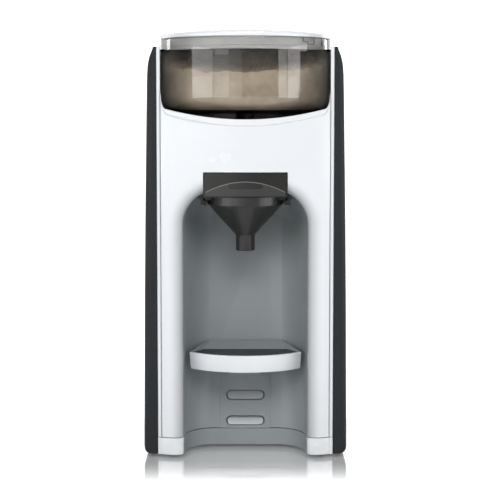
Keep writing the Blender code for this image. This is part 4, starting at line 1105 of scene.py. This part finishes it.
def stand():
    low, high = STAND_LOW.z, STAND_HIGH.z
    profile = ((1.9, low), (1.5, low + 0.15), (1.25, low + 0.6), (0.35, low + 9.0), (0.1, high - 1.2),
               (0.0, high - 0.7), (0.2, high - 0.25), (0.6, high), (2.5, high), (2.9, high - 0.3),
               (3.0, high - 0.8), (3.0, low))
    rows = [[(x, y, z) for x, y in stand_outline(inset)] for inset, z in profile]
    flipped = [list(column) for column in zip(*rows)]
    finish_mesh("stand_band", loft(flipped), WHITE, "stand_body", ("bottle_stand",), 40.0)
    carried("stand_bracket", GREY, 0.6)
    front = stand_outline(3.3)
    outline = soft_corner(front + [(PAD_BACK_HALF, PAD_HIGH.y), (-PAD_BACK_HALF, PAD_HIGH.y)], 0.6, 3)
    pad = prism(outline, PAD_LOW.z, PAD_HIGH.z)
    finish_mesh("stand_pad_mat", pad, PAD, "stand_pad_body", ("stand_pad",), 35.0, 0.35)


# -------- water tank and rear
def tank_outline(inset, steps=24):
    half, low, high = TANK_HIGH.x - inset, TANK_LOW.y + inset, TANK_HIGH.y - inset
    corner = 8.0 - inset
    left = arc(corner - half, low + corner, corner, 180, 270, 8)
    right = arc(half - corner, low + corner, corner, 270, 360, 8)
    return left + right + rear_corners(half, high, 28.0 - inset, steps)


def water_tank():
    bottom, top = limits("tank_dock")[1].z + GAP, TANK_HIGH.z
    profile = ((1.5, bottom), (0.4, bottom + 0.4), (0.0, bottom + 1.5), (0.0, top - 0.5), (0.5, top),
               (1.7, top), (2.2, top - 0.5), (2.2, bottom + 4.0), (2.8, bottom + 2.6), (4.0, bottom + 2.2))
    rows = [[(x, y, z) for x, y in tank_outline(inset)] for inset, z in profile]
    body, finish = "water_tank_body", "clear_plastic"
    made = finish_mesh("tank_shell", loft(rows), TANK_CLEAR, body, ("water_tank",), 50.0)
    cut(made, prism(circle(0, TANK_OUTLET_Y, 8.2, 48), bottom - 3, bottom + 6))
    spout = [(5.0, bottom - 7.0), (7.6, bottom - 7.0), (8.0, bottom - 6.6), (8.0, bottom + 2.2),
             (5.0, bottom + 2.2)]
    finish_mesh("tank_outlet", turned(spout, (0, TANK_OUTLET_Y), 64), TANK_CLEAR, body, (), 40.0)
    rod = [(0, bottom + 2.3), (1.6, bottom + 2.3), (1.6, bottom + 204.5), (1.2, bottom + 205),
           (0, bottom + 205)]
    finish_mesh("float_guide_rod", turned(rod, GUIDE_ROD, 24), ACETAL, body, (), 40.0)
    for index in range(8):
        z = bottom + 30 + 24 * index
        length = 16 if index % 2 else 9
        outline = rounded_box(96, 96 + length, z, z + 0.8, 0.3, 2)
        mark = prism(outline, TANK_HIGH.x, TANK_HIGH.x + 0.15, "X")
        finish_mesh("level_mark_%d" % (index + 1), mark, SYMBOL, body, (), 40.0)


# -------- control panel
def on_panel(bm):
    """Move a solid onto the control panel, which leans with the side cover."""
    placement = Matrix.Translation(CONTROLS_AT) @ Matrix.Rotation(-CONTROLS_LEAN, 4, "Y")
    bmesh.ops.transform(bm, matrix=placement, verts=bm.verts[:])
    return bm


def stroke(points, width, low, high):
    """Flat ribbon of a given width along points in the panel's face."""
    left, right = [], []
    for index, (u, v) in enumerate(points):
        before = points[max(index - 1, 0)]
        after = points[min(index + 1, len(points) - 1)]
        along = Vector((after[0] - before[0], after[1] - before[1])).normalized()
        left.append((u - along.y * width / 2, v + along.x * width / 2))
        right.append((u + along.y * width / 2, v - along.x * width / 2))
    return prism(left + list(reversed(right)), low, high, "X")


# Strokes of the generic symbols: power, start, plus, minus, thermometer and scoop
SYMBOLS = {
    "power_button": (arc(0, -0.2, 2.3, 125, 415, 20), [(0, 0.2), (0, 3.0)]),
    "start_button": ([(-1.5, -2.2), (2.2, 0)], [(2.2, 0), (-1.5, 2.2)], [(-1.5, 2.4), (-1.5, -2.4)]),
    "volume_up_button": ([(-2.4, 0), (2.4, 0)], [(0, -2.4), (0, -0.3)], [(0, 0.3), (0, 2.4)]),
    "volume_down_button": ([(-2.4, 0), (2.4, 0)],),
    "temperature_button": ([(0, -0.4), (0, 3.0)], arc(0, -1.7, 1.2, 90, 449, 16)),
    "powder_setting_button": ([(1.2, 1.4), (3.0, 3.0)], arc(-0.3, -0.3, 1.8, 200, 415, 16)),
}
SEGMENTS = {"a": ((0, 6), (4, 6)), "b": ((4, 6), (4, 3)), "c": ((4, 3), (4, 0)), "d": ((0, 0), (4, 0)),
            "e": ((0, 0), (0, 3)), "f": ((0, 3), (0, 6)), "g": ((0, 3), (4, 3))}
# Place and lit segments of each digit on the display
DIGITS = ((-11.0, "bc"), (-3.5, "abged"), (4.0, "abcdef"))


def control_panel():
    carried("control_bezel", BLACK, 0.35)
    carried("display_lens", DISPLAY, 0.3)
    for index, (name, strokes) in enumerate(SYMBOLS.items()):
        carried(name, KEY, 0.25)
        u = BUTTON_SIDE * (1 if index % 2 else -1)
        v = BUTTON_TOP - BUTTON_PITCH * (index // 2)
        for number, points in enumerate(strokes):
            mark = on_panel(stroke([(u + du, v + dv) for du, dv in points], 0.55, 0.98, 1.06))
            finish_mesh("%s_mark_%d" % (name, number + 1), mark, SYMBOL, name + "_body", (), 40.0)
    for place_at, lit in DIGITS:
        for part in lit:
            ends = [(place_at + u * 1.15, 22.0 + v * 1.9) for u, v in SEGMENTS[part]]
            bar = on_panel(stroke(ends, 0.8, 0.27, 0.34))
            name = "digit_%s_%d" % (part, int(place_at * 10 + 200))
            finish_mesh(name, bar, DIGIT, "machine", (), 40.0)


def carried_over():
    finishes = (
        (BLACK, 0.4, ("funnel_frame", "gearbox_case", "powder_chute", "water_nozzle", "stirring_wheel",
                      "tank_valve", "water_pump", "power_inlet", "container_seat")),
        (CHARCOAL, 0.6, ("rear_housing", "tank_dock", "tank_lid", "top_deck")),
        (RUBBER, 0.2, ("foot_1", "foot_2", "foot_3", "foot_4")),
        (STEEL, 0.15, ("base_screw_1", "base_screw_2", "base_screw_3", "base_screw_4", "drive_motor",
                       "drive_pinion")),
        (ACETAL, 0.15, ("drive_gear",)),
        (ALUMINIUM, 0.5, ("water_heater",)),
        (BOARD, 0.0, ("main_board", "power_board", "control_board")),
        (SILICONE, 0.0, ("pump_inlet_hose", "pump_outlet_hose", "nozzle_hose")),
        (ORANGE, 0.3, ("level_float",)),
    )
    for mat, bevel, names in finishes:
        for name in names:
            carried(name, mat, bevel)


front_panel()
bay_surface()
plate_with_slots()
base_shell()
base_trim()
side_rail(-1)
side_rail(1)
side_cover(-1)
right_cover = side_cover(1)
panel_hole = prism(rounded_box(-23.3, 23.3, -48.3, 48.3, 8.3), -8, 8, "X")
cut(right_cover, on_panel(panel_hole))
container_shell()
powder_fill()
lid_dome()
lock_marks()
funnel_cone()
shield()
stand()
water_tank()
control_panel()
carried_over()
stage()
camera()
studio_world()
lights()
